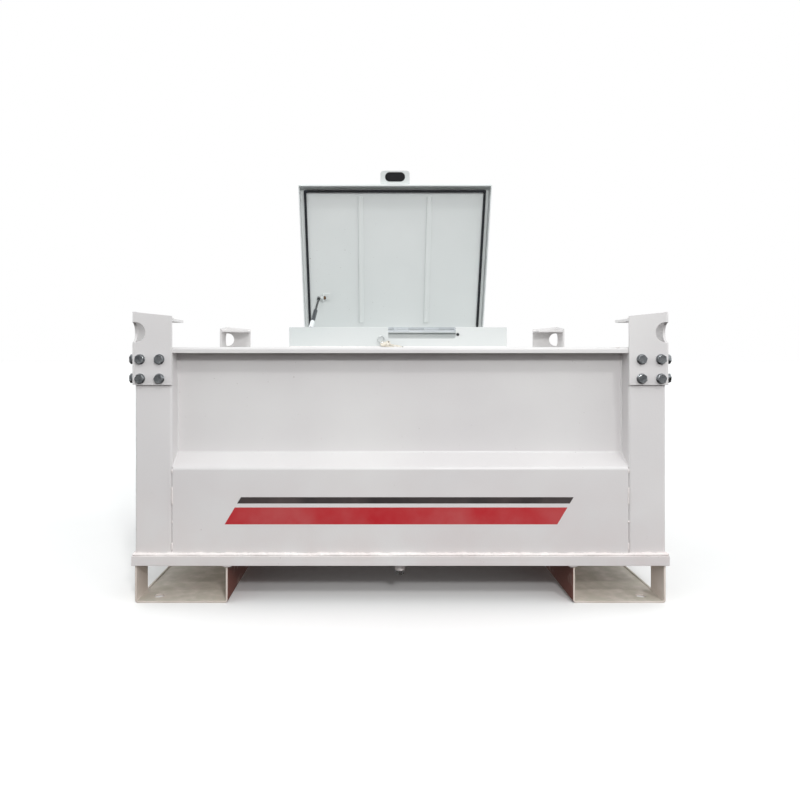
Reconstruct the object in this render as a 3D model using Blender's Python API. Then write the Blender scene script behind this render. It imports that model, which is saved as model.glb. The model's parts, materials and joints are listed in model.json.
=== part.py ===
"""A 500 litre double-walled diesel tank on fork-pocket feet, with its hinged equipment lid held open.

Metres, +Z up, origin on the ground under the middle of the tank. The front faces -Y.
The lid is modelled closed, about its hinge line, and an empty on that line turns it open.
"""

from math import cos, pi, radians, sin

import bmesh
import bpy
from mathutils import Matrix, Vector

GAP = 0.0003
CORNERS = (
    ("front_left", -1, -1),
    ("front_right", 1, -1),
    ("back_left", -1, 1),
    ("back_right", 1, 1),
)

# Outer body
BODY_WIDTH = 1.500
BODY_DEPTH = 1.150
TOP_HEIGHT = 0.723
SHEET = 0.004
POST_WIDTH = 0.105
POST_SHEET = 0.005
RECESS = 0.054
SLOPE_LOW = 0.383
SLOPE_HIGH = 0.418
LIP_HEIGHT = 0.017

# Base and fork-pocket feet
FOOT_HEIGHT = 0.107
FOOT_WIDTH = 0.262
FOOT_SHEET = 0.0055
FOOT_BEND = 0.008
COLLAR_LENGTH = 0.091
FOOT_HOLE_RADIUS = 0.014
FOOT_HOLE_FROM_SIDE = 0.055
FOOT_HOLE_FROM_FRONT = 0.043
BASE_SHEET = 0.006
RAIL_HEIGHT = 0.027
RAIL_PROUD = 0.008

# Lifting brackets
BRACKET_LEAF = 0.114
BRACKET_PLATE = 0.008
BRACKET_LOW = 0.616
BRACKET_TIP = 0.8226
BRACKET_END = 0.811
NOTCH_RADIUS = 0.0284
NOTCH_HEIGHT = 0.7646
NOTCH_REACH = 0.040
NOTCH_SIDE_REACH = 0.030
GUSSET_LOW = 0.796
GUSSET_PLATE = 0.008
GUSSET_WELD = 0.002

# Drain under the front
DRAIN_BEHIND_FRONT = 0.040
DRAIN_RADIUS = 0.0155
DRAIN_NECK_RADIUS = 0.012
DRAIN_DROP = 0.039
DRAIN_SOCKET = 0.024

# Equipment cabinet
CABINET_WIDTH = 0.683
CABINET_FRONT = -0.369
CABINET_BACK = 0.187
CABINET_TOP = 0.787
OUTLET_LEFT = -0.031
OUTLET_RIGHT = 0.181
OUTLET_BOTTOM = 0.751
OUTLET_CORNER = 0.009
LEDGE_WIDTH = 0.018
LEDGE_PLATE = 0.003

# Inner tank
INNER_WIDTH = 1.340
INNER_DEPTH = 0.980
INNER_TOP = 0.564
BEARER_HEIGHT = 0.040
BEARER_WIDTH = 0.050
BEARER_LENGTH = 1.300
BEARER_FROM_MIDDLE = 0.300
FILLER_X = 0.170
FILLER_Y = -0.165
FILLER_RADIUS = 0.038
FILLER_HEIGHT = 0.070
FILLER_RIM = 0.046
FILLER_CAP_HEIGHT = 0.020
BREATHER_X = 0.230
BREATHER_Y = 0.065
BREATHER_HEIGHT = 0.120
BREATHER_STEM_RADIUS = 0.0127
BREATHER_COWL_RADIUS = 0.0254
BREATHER_NUT_HEIGHT = 0.012
BREATHER_COWL_HEIGHT = 0.020

# Lid, measured closed from its hinge line
HINGE_Y = 0.193
HINGE_Z = 0.790
LID_OPEN = radians(69)
LID_WIDTH = 0.706
LID_LENGTH = 0.572
LID_SHEET = 0.003
LID_FACE = 0.012
SKIRT_DEPTH = 0.038
SEAL_HALF_WIDTH = 0.3325
SEAL_WIDTH = 0.009
SEAL_THICKNESS = 0.010
SEAL_FROM_FRONT = 0.021
SEAL_FROM_HINGE = 0.017
RIB_X = 0.128
RIB_WIDTH = 0.018
RIB_DEPTH = 0.006
RIB_FROM_FRONT = 0.042
RIB_FROM_HINGE = 0.034
HANDLE_WIDTH = 0.108
HANDLE_REACH = 0.048
HANDLE_CORNER = 0.012
GRIP_WIDTH = 0.074
GRIP_HEIGHT = 0.034
GRIP_FROM_EDGE = 0.026
GRIP_THICKNESS = 0.006

# Hinge
HINGE_LENGTH = 0.600
KNUCKLE_RADIUS = 0.005
KNUCKLE_GAP = 0.001
PIN_RADIUS = 0.0022
BORE_RADIUS = 0.0028
KNUCKLE_LENGTH = 0.060
HINGE_LEAF = 0.0025
HINGE_LEAF_WIDTH = 0.030
LID_LEAF_REACH = 0.0145

# Gas strut, on the left
STRUT_LID_X = -0.2925
STRUT_LID_REACH = 0.1414
STRUT_LID_DROP = 0.006
STRUT_FOOT = Vector((-0.296, -0.229, 0.757))
STRUT_END_RADIUS = 0.006
STRUT_END_GAP = 0.0006
STRUT_NECK_RADIUS = 0.0048
STRUT_NECK_LENGTH = 0.012
STRUT_SHOULDER = 0.018
STRUT_TUBE_BOTTOM = 0.024
STRUT_TUBE_RADIUS = 0.0075
STRUT_BORE_RADIUS = 0.0045
STRUT_ROD_RADIUS = 0.004
STRUT_ROD_SHOWING = 0.141
STRUT_ROD_INSIDE = 0.012
MOUNT_PLATE = 0.003
MOUNT_WIDTH = 0.026
EAR_STUD = 0.009


def clear_scene():
    for thing in list(bpy.data.objects):
        bpy.data.objects.remove(thing, do_unlink=True)


def make_material(name, colour, roughness, metallic=0.0):
    material = bpy.data.materials.new(name)
    material.use_nodes = True
    shader = material.node_tree.nodes["Principled BSDF"]
    shader.inputs["Base Color"].default_value = (*colour, 1.0)
    shader.inputs["Roughness"].default_value = roughness
    shader.inputs["Metallic"].default_value = metallic
    material.diffuse_color = (*colour, 1.0)
    return material


def add_object(name, bm, material, parent=None):
    """Makes an object from a bmesh, shaded smooth with sharp corners kept."""
    mesh = bpy.data.meshes.new(name)
    bm.to_mesh(mesh)
    bm.free()
    mesh.materials.append(material)
    mesh.shade_smooth()
    mesh.set_sharp_from_angle(angle=radians(30))
    thing = bpy.data.objects.new(name, mesh)
    bpy.context.scene.collection.objects.link(thing)
    thing.parent = parent
    return thing


def add_box(name, low, high, material, parent=None):
    bm = bmesh.new()
    size = Vector(high) - Vector(low)
    middle = (Vector(high) + Vector(low)) / 2
    bmesh.ops.create_cube(bm, size=1.0)
    bmesh.ops.scale(bm, vec=size, verts=bm.verts)
    bmesh.ops.translate(bm, vec=middle, verts=bm.verts)
    return add_object(name, bm, material, parent)


def add_extrusion(name, outline, along, material, parent=None):
    """Extrudes a flat outline of 3-D points by the vector along."""
    bm = bmesh.new()
    face = bm.faces.new([bm.verts.new(point) for point in outline])
    grown = bmesh.ops.extrude_face_region(bm, geom=[face])
    moved = [part for part in grown["geom"] if isinstance(part, bmesh.types.BMVert)]
    bmesh.ops.translate(bm, vec=along, verts=moved)
    bmesh.ops.recalc_face_normals(bm, faces=bm.faces)
    return add_object(name, bm, material, parent)


def add_turned(name, profile, place, axis, material, parent=None, steps=32):
    """Spins a profile of (radius, height) points round the axis through place."""
    bm = bmesh.new()
    points = [bm.verts.new((radius, 0, height)) for radius, height in profile]
    edges = [bm.edges.new(pair) for pair in zip(points, points[1:])]
    bmesh.ops.spin(
        bm, geom=points + edges, axis=(0, 0, 1), cent=(0, 0, 0), steps=steps, angle=2 * pi, use_merge=True
    )
    bmesh.ops.remove_doubles(bm, verts=bm.verts, dist=1e-6)
    bmesh.ops.recalc_face_normals(bm, faces=bm.faces)
    turn = Vector((0, 0, 1)).rotation_difference(Vector(axis)).to_matrix().to_4x4()
    bmesh.ops.transform(bm, matrix=Matrix.Translation(place) @ turn, verts=bm.verts)
    return add_object(name, bm, material, parent)


def add_folded(name, path, along, thickness, outward, material, parent=None):
    """Folds a sheet along a path, as wide as the vector along, and thickens it away from outward."""
    bm = bmesh.new()
    points = [bm.verts.new(point) for point in path]
    edges = [bm.edges.new(pair) for pair in zip(points, points[1:])]
    grown = bmesh.ops.extrude_edge_only(bm, edges=edges)
    moved = [part for part in grown["geom"] if isinstance(part, bmesh.types.BMVert)]
    bmesh.ops.translate(bm, vec=along, verts=moved)
    bm.normal_update()
    start = (Vector(path[0]) + Vector(path[1]) + Vector(along)) / 2
    first = min(bm.faces, key=lambda face: (face.calc_center_median() - start).length)
    if first.normal.dot(Vector(outward)) < 0:
        bmesh.ops.reverse_faces(bm, faces=bm.faces)
    thing = add_object(name, bm, material, parent)
    thicken(thing, thickness)
    return thing


def thicken(thing, thickness):
    wall = thing.modifiers.new("Sheet", "SOLIDIFY")
    wall.thickness = thickness
    wall.offset = -1
    wall.solidify_mode = "NON_MANIFOLD"
    wall.nonmanifold_thickness_mode = "CONSTRAINTS"


def cut(thing, cutter):
    """Cuts one object's shape out of another, and keeps the cutter as a hidden guide."""
    cutter.hide_render = True
    cutter.display_type = "WIRE"
    cutter.parent = thing.parent
    hole = thing.modifiers.new(cutter.name, "BOOLEAN")
    hole.operation = "DIFFERENCE"
    hole.solver = "EXACT"
    hole.object = cutter


def join(thing, other):
    """Welds one object's shape onto another."""
    other.hide_render = True
    other.display_type = "WIRE"
    other.parent = thing.parent
    weld = thing.modifiers.new(other.name, "BOOLEAN")
    weld.operation = "UNION"
    weld.solver = "EXACT"
    weld.object = other


def arc(centre, radius, start, end, steps):
    """Points on an arc in a plane, as (across, up) pairs. Angles are in degrees."""
    turns = [radians(start + (end - start) * step / steps) for step in range(steps + 1)]
    return [(centre[0] + radius * cos(turn), centre[1] + radius * sin(turn)) for turn in turns]


def rounded_rectangle(width, height, radius, steps=5):
    """Corner-rounded outline about (0, 0), anticlockwise."""
    across = width / 2 - radius
    up = height / 2 - radius
    corners = [((across, up), 0), ((-across, up), 90), ((-across, -up), 180), ((across, -up), 270)]
    return [point for centre, start in corners for point in arc(centre, radius, start, start + 90, steps)]


def make_base(paint):
    half_x = BODY_WIDTH / 2
    half_y = BODY_DEPTH / 2
    add_box("base_plate", (-half_x, -half_y, FOOT_HEIGHT), (half_x, half_y, FOOT_HEIGHT + BASE_SHEET), paint)
    top = FOOT_HEIGHT + RAIL_HEIGHT
    for name, side in (("front", -1), ("back", 1)):
        near = side * (half_y + GAP)
        far = side * (half_y + RAIL_PROUD)
        low = (-half_x - RAIL_PROUD, min(near, far), FOOT_HEIGHT)
        add_box("base_rail_" + name, low, (half_x + RAIL_PROUD, max(near, far), top), paint)
    for name, side in (("left", -1), ("right", 1)):
        near = side * (half_x + GAP)
        far = side * (half_x + RAIL_PROUD)
        low = (min(near, far), -half_y, FOOT_HEIGHT)
        add_box("base_rail_" + name, low, (max(near, far), half_y, top), paint)


def make_foot(name, side, paint):
    """A pressed channel: outer wall, floor and inner wall, with the outer wall open between its collars."""
    outer = BODY_WIDTH / 2
    inner = outer - FOOT_WIDTH
    top = FOOT_HEIGHT - GAP
    across = [(outer, top)]
    across += arc((outer - FOOT_BEND, FOOT_BEND), FOOT_BEND, 0, -90, 4)
    across += arc((inner + FOOT_BEND, FOOT_BEND), FOOT_BEND, -90, -180, 4)
    across += [(inner, top)]
    path = [(side * x, -BODY_DEPTH / 2, z) for x, z in across]
    foot = add_folded(name, path, (0, BODY_DEPTH, 0), FOOT_SHEET, (side, 0, 0), paint)
    reach = BODY_DEPTH / 2 - COLLAR_LENGTH
    ends = (side * (outer - FOOT_BEND), side * (outer + FOOT_BEND))
    low = (min(ends), -reach, FOOT_BEND)
    cut(foot, add_box(name + "_side_opening", low, (max(ends), reach, FOOT_HEIGHT + FOOT_BEND), paint))
    for end, turn in (("front", -1), ("back", 1)):
        place = (side * (outer - FOOT_HOLE_FROM_SIDE), turn * (BODY_DEPTH / 2 - FOOT_HOLE_FROM_FRONT), 0)
        radius = FOOT_HOLE_RADIUS
        profile = [(0, FOOT_BEND), (radius, FOOT_BEND), (radius, -FOOT_BEND), (0, -FOOT_BEND)]
        cut(foot, add_turned(name + "_hole_" + end, profile, place, (0, 0, 1), paint, steps=20))


def make_drain(paint):
    top = FOOT_HEIGHT - GAP
    socket = top - DRAIN_SOCKET
    bottom = FOOT_HEIGHT - DRAIN_DROP
    profile = [(0, top), (DRAIN_RADIUS, top), (DRAIN_RADIUS, socket), (DRAIN_NECK_RADIUS, socket)]
    profile += [(DRAIN_NECK_RADIUS, bottom), (0, bottom)]
    place = (0, -BODY_DEPTH / 2 + DRAIN_BEHIND_FRONT, 0)
    add_turned("drain_plug", profile, place, (0, 0, 1), paint)


def make_posts(paint):
    """Each corner is one folded sheet: two outer faces, and a return to the recessed panel at each edge."""
    bottom = FOOT_HEIGHT + BASE_SHEET + GAP
    height = TOP_HEIGHT - SHEET - GAP - bottom
    inner = RECESS + SHEET
    plan = [(POST_WIDTH, inner), (POST_WIDTH, 0), (0, 0), (0, POST_WIDTH), (inner, POST_WIDTH)]
    for name, side_x, side_y in CORNERS:
        path = [(side_x * (BODY_WIDTH / 2 - u), side_y * (BODY_DEPTH / 2 - v), bottom) for u, v in plan]
        add_folded("corner_post_" + name, path, (0, 0, height), POST_SHEET, (-side_x, 0, 0), paint)


def make_walls(paint):
    """Each wall is one folded sheet: lower panel, sloping shoulder and recessed upper panel."""
    bottom = FOOT_HEIGHT + BASE_SHEET + GAP
    top = TOP_HEIGHT - SHEET - GAP
    profile = [(0, bottom), (0, SLOPE_LOW), (RECESS, SLOPE_HIGH), (RECESS, top)]
    half_x = BODY_WIDTH / 2 - POST_WIDTH - GAP
    half_y = BODY_DEPTH / 2 - POST_WIDTH - GAP
    for name, side in (("front", -1), ("back", 1)):
        path = [(-half_x, side * (BODY_DEPTH / 2 - v), z) for v, z in profile]
        add_folded("wall_" + name, path, (2 * half_x, 0, 0), SHEET, (0, side, 0), paint)
    for name, side in (("left", -1), ("right", 1)):
        path = [(side * (BODY_WIDTH / 2 - v), -half_y, z) for v, z in profile]
        add_folded("wall_" + name, path, (0, 2 * half_y, 0), SHEET, (side, 0, 0), paint)


def make_top(paint):
    """The top sheet, its turned-down lips between the posts, and the hole that the cabinet stands in."""
    half_x = BODY_WIDTH / 2
    half_y = BODY_DEPTH / 2
    lip_x = half_x - POST_WIDTH - GAP
    lip_y = half_y - POST_WIDTH - GAP
    hole_x = CABINET_WIDTH / 2 + GAP
    lines_x = [-half_x, -lip_x, -hole_x, hole_x, lip_x, half_x]
    lines_y = [-half_y, -lip_y, CABINET_FRONT - GAP, CABINET_BACK + GAP, lip_y, half_y]
    bm = bmesh.new()
    grid = [[bm.verts.new((x, y, TOP_HEIGHT)) for x in lines_x] for y in lines_y]
    for row in range(len(lines_y) - 1):
        for column in range(len(lines_x) - 1):
            if (row, column) != (2, 2):
                near = grid[row][column : column + 2]
                far = grid[row + 1][column : column + 2]
                bm.faces.new(near + far[::-1])
    rims = [edge for edge in bm.edges if edge.is_boundary and is_lip(edge, lip_x, lip_y)]
    grown = bmesh.ops.extrude_edge_only(bm, edges=rims)
    moved = [part for part in grown["geom"] if isinstance(part, bmesh.types.BMVert)]
    bmesh.ops.translate(bm, vec=(0, 0, -LIP_HEIGHT), verts=moved)
    bmesh.ops.recalc_face_normals(bm, faces=bm.faces)
    bm.normal_update()
    if sum(face.normal.z for face in bm.faces) < 0:
        bmesh.ops.reverse_faces(bm, faces=bm.faces)
    thicken(add_object("top_plate", bm, paint), SHEET)


def is_lip(edge, lip_x, lip_y):
    """Whether an outer edge of the top sheet lies between two posts."""
    middle = (edge.verts[0].co + edge.verts[1].co) / 2
    on_front_or_back = abs(middle.y) > lip_y + GAP and abs(middle.x) < lip_x
    on_side = abs(middle.x) > lip_x + GAP and abs(middle.y) < lip_y
    return on_front_or_back or on_side


def make_brackets(paint):
    """Bent plates round the corners. A round-ended notch through the bend is the lifting eye."""
    plate = BRACKET_PLATE - GAP
    reach = NOTCH_REACH - plate - NOTCH_RADIUS
    low = NOTCH_HEIGHT - NOTCH_RADIUS
    high = NOTCH_HEIGHT + NOTCH_RADIUS
    width = BRACKET_LEAF - plate
    curve = arc((reach, NOTCH_HEIGHT), NOTCH_RADIUS, 90, -90, 10)
    shallow = (NOTCH_SIDE_REACH - plate) / NOTCH_RADIUS
    side_curve = [(shallow * u, z) for u, z in arc((0, NOTCH_HEIGHT), NOTCH_RADIUS, 90, -90, 10)[1:-1]]
    for name, side_x, side_y in CORNERS:
        bm = bmesh.new()
        corner = (side_x * (BODY_WIDTH / 2 + GAP), side_y * (BODY_DEPTH / 2 + GAP))
        bend = [bm.verts.new((*corner, z)) for z in (BRACKET_LOW, low, high, BRACKET_TIP)]
        for step, notch in (((-side_x, 0), curve), ((0, -side_y), side_curve)):
            plan = [(width, BRACKET_LOW), (width, BRACKET_END)] + notch
            points = [(corner[0] + step[0] * u, corner[1] + step[1] * u, z) for u, z in plan]
            points = [bm.verts.new(point) for point in points]
            bm.faces.new([bend[0], *points[:2], bend[3], bend[2], *points[2:], bend[1]])
        bmesh.ops.recalc_face_normals(bm, faces=bm.faces)
        bm.normal_update()
        front = max(bm.faces, key=lambda face: abs(face.normal.y))
        if front.normal.y * side_y > 0:
            bmesh.ops.reverse_faces(bm, faces=bm.faces)
        bracket = add_object("lifting_bracket_" + name, bm, paint)
        thicken(bracket, plate)
        ends_x = [side_x * (BODY_WIDTH / 2 + GUSSET_WELD), corner[0] - side_x * width]
        ends_y = [side_y * (BODY_DEPTH / 2 + GUSSET_WELD), corner[1] - side_y * width]
        near = (min(ends_x), min(ends_y), GUSSET_LOW)
        far = (max(ends_x), max(ends_y), GUSSET_LOW + GUSSET_PLATE)
        join(bracket, add_box("gusset_" + name, near, far, paint))


def make_cabinet(paint):
    """Four walls standing on the inner tank and up through the top sheet, with a ledge for the lid's seal."""
    half = CABINET_WIDTH / 2
    bottom = INNER_TOP + GAP
    high = (half, CABINET_FRONT + SHEET, CABINET_TOP)
    front = add_box("cabinet_front", (-half, CABINET_FRONT, bottom), high, paint)
    radius = OUTLET_CORNER
    clear = CABINET_TOP + OUTLET_CORNER
    outline = [(OUTLET_LEFT, clear), (OUTLET_LEFT, OUTLET_BOTTOM)]
    outline += arc((OUTLET_RIGHT - radius, OUTLET_BOTTOM + radius), radius, -90, 0, 4)
    outline += [(OUTLET_RIGHT, clear)]
    start = CABINET_FRONT - SHEET
    depth = 2 * LEDGE_WIDTH
    cut(front, add_extrusion("outlet_cutter", [(x, start, z) for x, z in outline], (0, depth, 0), paint))
    low = (-half, CABINET_BACK - SHEET, bottom)
    add_box("cabinet_back", low, (half, CABINET_BACK, CABINET_TOP), paint)
    near = CABINET_FRONT + SHEET + GAP
    far = CABINET_BACK - SHEET - GAP
    add_box("cabinet_left", (-half, near, bottom), (-half + SHEET, far, CABINET_TOP), paint)
    add_box("cabinet_right", (half - SHEET, near, bottom), (half, far, CABINET_TOP), paint)
    edge = half - SHEET - GAP
    low = (-edge, near, CABINET_TOP - LEDGE_PLATE)
    ledge = add_box("cabinet_ledge", low, (edge, far, CABINET_TOP), paint)
    low = (-edge + LEDGE_WIDTH, near + LEDGE_WIDTH, CABINET_TOP - 2 * LEDGE_PLATE)
    high = (edge - LEDGE_WIDTH, far - LEDGE_WIDTH, CABINET_TOP + LEDGE_PLATE)
    cut(ledge, add_box("ledge_hole", low, high, paint))
    low = (OUTLET_LEFT, near - LEDGE_WIDTH, CABINET_TOP - 2 * LEDGE_PLATE)
    high = (OUTLET_RIGHT, near + 2 * LEDGE_WIDTH, CABINET_TOP + LEDGE_PLATE)
    cut(ledge, add_box("ledge_outlet", low, high, paint))


def make_inner_tank(paint, cap_paint):
    """The fuel tank inside the bund: an open box, its lid sheet, and the bearers that it stands on."""
    half_x = INNER_WIDTH / 2
    half_y = INNER_DEPTH / 2
    bottom = FOOT_HEIGHT + BASE_SHEET + BEARER_HEIGHT + 2 * GAP
    top = INNER_TOP - SHEET - GAP
    bm = bmesh.new()
    bmesh.ops.create_cube(bm, size=1.0)
    bmesh.ops.scale(bm, vec=(INNER_WIDTH, INNER_DEPTH, top - bottom), verts=bm.verts)
    bmesh.ops.translate(bm, vec=(0, 0, (top + bottom) / 2), verts=bm.verts)
    open_side = max(bm.faces, key=lambda face: face.calc_center_median().z)
    bmesh.ops.delete(bm, geom=[open_side], context="FACES_ONLY")
    thicken(add_object("inner_tank_shell", bm, paint), SHEET)
    add_box("inner_tank_top", (-half_x, -half_y, INNER_TOP - SHEET), (half_x, half_y, INNER_TOP), paint)
    foot = FOOT_HEIGHT + BASE_SHEET + GAP
    for name, side in (("front", -1), ("back", 1)):
        middle = side * BEARER_FROM_MIDDLE
        near = middle - BEARER_WIDTH / 2
        far = middle + BEARER_WIDTH / 2
        section = [(near, foot), (near, foot + BEARER_HEIGHT), (far, foot + BEARER_HEIGHT), (far, foot)]
        path = [(-BEARER_LENGTH / 2, y, z) for y, z in section]
        add_folded("bearer_" + name, path, (BEARER_LENGTH, 0, 0), SHEET, (0, -1, 0), paint)
    make_fittings(paint, cap_paint)


def make_fittings(paint, cap_paint):
    """The filler and the breather on the inner tank, inside the cabinet."""
    base = INNER_TOP + GAP
    neck_top = base + FILLER_HEIGHT
    neck = [(FILLER_RADIUS - SHEET, base), (FILLER_RADIUS, base), (FILLER_RADIUS, neck_top)]
    neck += [(FILLER_RADIUS - SHEET, neck_top), (FILLER_RADIUS - SHEET, base)]
    add_turned("filler_neck", neck, (FILLER_X, FILLER_Y, 0), (0, 0, 1), paint)
    rim = FILLER_RIM
    cap_base = neck_top + GAP
    cap_top = cap_base + FILLER_CAP_HEIGHT
    cap = [(0, cap_base), (rim, cap_base), (rim, cap_top - SHEET), (rim - SHEET, cap_top), (0, cap_top)]
    add_turned("filler_cap", cap, (FILLER_X, FILLER_Y, 0), (0, 0, 1), cap_paint)
    stem = BREATHER_STEM_RADIUS
    wide = BREATHER_COWL_RADIUS
    nut_top = base + BREATHER_NUT_HEIGHT
    cowl_top = base + BREATHER_HEIGHT
    cowl_low = cowl_top - BREATHER_COWL_HEIGHT
    breather = [(0, base), (wide, base), (wide, nut_top), (stem, nut_top), (stem, cowl_low)]
    breather += [(wide, cowl_low), (wide, cowl_top - SHEET), (stem, cowl_top), (0, cowl_top)]
    add_turned("breather", breather, (BREATHER_X, BREATHER_Y, 0), (0, 0, 1), cap_paint)


def make_lid(paint, rubber, plastic, hinge_line):
    """The lid, closed, with its hinge line at the origin and its front edge at -Y."""
    half = LID_WIDTH / 2
    top = LID_FACE + LID_SHEET
    bm = bmesh.new()
    plan = [(-half, 0), (half, 0), (half, -LID_LENGTH), (-half, -LID_LENGTH)]
    face = bm.faces.new([bm.verts.new((x, y, top)) for x, y in plan])
    rims = [edge for edge in face.edges if min(vert.co.y for vert in edge.verts) < 0]
    grown = bmesh.ops.extrude_edge_only(bm, edges=rims)
    moved = [part for part in grown["geom"] if isinstance(part, bmesh.types.BMVert)]
    bmesh.ops.translate(bm, vec=(0, 0, -SKIRT_DEPTH), verts=moved)
    bmesh.ops.recalc_face_normals(bm, faces=bm.faces)
    bm.normal_update()
    if sum(face.normal.z for face in bm.faces) < 0:
        bmesh.ops.reverse_faces(bm, faces=bm.faces)
    thicken(add_object("lid_panel", bm, paint, hinge_line), LID_SHEET)

    under = LID_FACE - GAP
    for name, middle in (("left", -RIB_X), ("right", RIB_X)):
        low = (middle - RIB_WIDTH / 2, -LID_LENGTH + RIB_FROM_FRONT, under - RIB_DEPTH)
        add_box("lid_rib_" + name, low, (middle + RIB_WIDTH / 2, -RIB_FROM_HINGE, under), paint, hinge_line)

    # The seal runs along the front and both sides. The hinge side has none.
    outer = SEAL_HALF_WIDTH + SEAL_WIDTH / 2
    inner = SEAL_HALF_WIDTH - SEAL_WIDTH / 2
    low = (-outer, -LID_LENGTH + SEAL_FROM_FRONT, under - SEAL_THICKNESS)
    seal = add_box("lid_seal", low, (outer, -SEAL_FROM_HINGE, under), rubber, hinge_line)
    low = (-inner, -LID_LENGTH + SEAL_FROM_FRONT + SEAL_WIDTH, -SEAL_THICKNESS)
    cut(seal, add_box("seal_hole", low, (inner, 0, top + SEAL_THICKNESS), rubber))
    make_handle(paint, plastic, hinge_line)


def make_handle(paint, plastic, hinge_line):
    """A rounded tab on the lid's front edge, with a black grip let into it."""
    near = -LID_LENGTH - GAP
    far = -LID_LENGTH - HANDLE_REACH
    half = HANDLE_WIDTH / 2
    radius = HANDLE_CORNER
    outline = [(half, near), (-half, near)]
    outline += arc((-half + radius, far + radius), radius, 180, 270, 5)
    outline += arc((half - radius, far + radius), radius, 270, 360, 5)
    points = [(x, y, LID_FACE) for x, y in outline]
    handle = add_extrusion("lid_handle", points, (0, 0, LID_SHEET), paint, hinge_line)
    middle = -LID_LENGTH - GRIP_FROM_EDGE
    slot = rounded_rectangle(GRIP_WIDTH, GRIP_HEIGHT, GRIP_HEIGHT / 2 - GAP, 8)
    points = [(x, middle + y, LID_FACE - LID_SHEET) for x, y in slot]
    cut(handle, add_extrusion("grip_hole", points, (0, 0, 3 * LID_SHEET), paint))
    grip = rounded_rectangle(GRIP_WIDTH - 2 * GAP, GRIP_HEIGHT - 2 * GAP, GRIP_HEIGHT / 2 - 2 * GAP, 8)
    base = LID_FACE + LID_SHEET / 2 - GRIP_THICKNESS / 2
    points = [(x, middle + y, base) for x, y in grip]
    add_extrusion("lid_grip", points, (0, 0, GRIP_THICKNESS), plastic, hinge_line)


def make_hinge(steel, hinge_line):
    """A long hinge: knuckles take turns between the leaf on the cabinet and the leaf on the lid."""
    count = round(HINGE_LENGTH / KNUCKLE_LENGTH)
    start = -HINGE_LENGTH / 2
    fixed_top = HINGE_Z - KNUCKLE_RADIUS - KNUCKLE_GAP
    back = CABINET_BACK + GAP
    low = (start, back, HINGE_Z - HINGE_LEAF_WIDTH)
    fixed = add_box("hinge_leaf_cabinet", low, (-start, back + HINGE_LEAF, fixed_top), steel)
    low = (start, -LID_LEAF_REACH, LID_FACE - GAP - HINGE_LEAF)
    swing = add_box("hinge_leaf_lid", low, (-start, -KNUCKLE_RADIUS, LID_FACE - GAP), steel, hinge_line)
    for knuckle in range(count):
        left = start + knuckle * KNUCKLE_LENGTH + KNUCKLE_GAP / 2
        length = KNUCKLE_LENGTH - KNUCKLE_GAP
        barrel = [(0, 0), (KNUCKLE_RADIUS, 0), (KNUCKLE_RADIUS, length), (0, length)]
        if knuckle % 2:
            name = "lid_knuckle_" + str(knuckle)
            join(swing, add_turned(name, barrel, (left, 0, 0), (1, 0, 0), steel, steps=12))
            low = (left, -2 * KNUCKLE_RADIUS, 0)
            high = (left + length, -KNUCKLE_RADIUS / 2, LID_FACE - GAP)
            join(swing, add_box(name + "_web", low, high, steel))
        else:
            name = "cabinet_knuckle_" + str(knuckle)
            join(fixed, add_turned(name, barrel, (left, HINGE_Y, HINGE_Z), (1, 0, 0), steel, steps=12))
            low = (left, back, fixed_top - KNUCKLE_RADIUS)
            high = (left + length, back + HINGE_LEAF, HINGE_Z)
            join(fixed, add_box(name + "_web", low, high, steel))
    bore = [(0, -GAP), (BORE_RADIUS, -GAP), (BORE_RADIUS, HINGE_LENGTH + GAP), (0, HINGE_LENGTH + GAP)]
    cut(swing, add_turned("hinge_bore", bore, (start, 0, 0), (1, 0, 0), steel, steps=12))
    pin = [(0, 0), (PIN_RADIUS, 0), (PIN_RADIUS, HINGE_LENGTH), (0, HINGE_LENGTH)]
    join(fixed, add_turned("hinge_pin", pin, (start, HINGE_Y, HINGE_Z), (1, 0, 0), steel, steps=12))


def strut_head():
    """The middle of the strut's upper end, on the open lid."""
    local = Vector((STRUT_LID_X, -STRUT_LID_REACH, -STRUT_LID_DROP))
    return Matrix.Rotation(-LID_OPEN, 3, "X") @ local + Vector((0, HINGE_Y, HINGE_Z))


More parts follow.
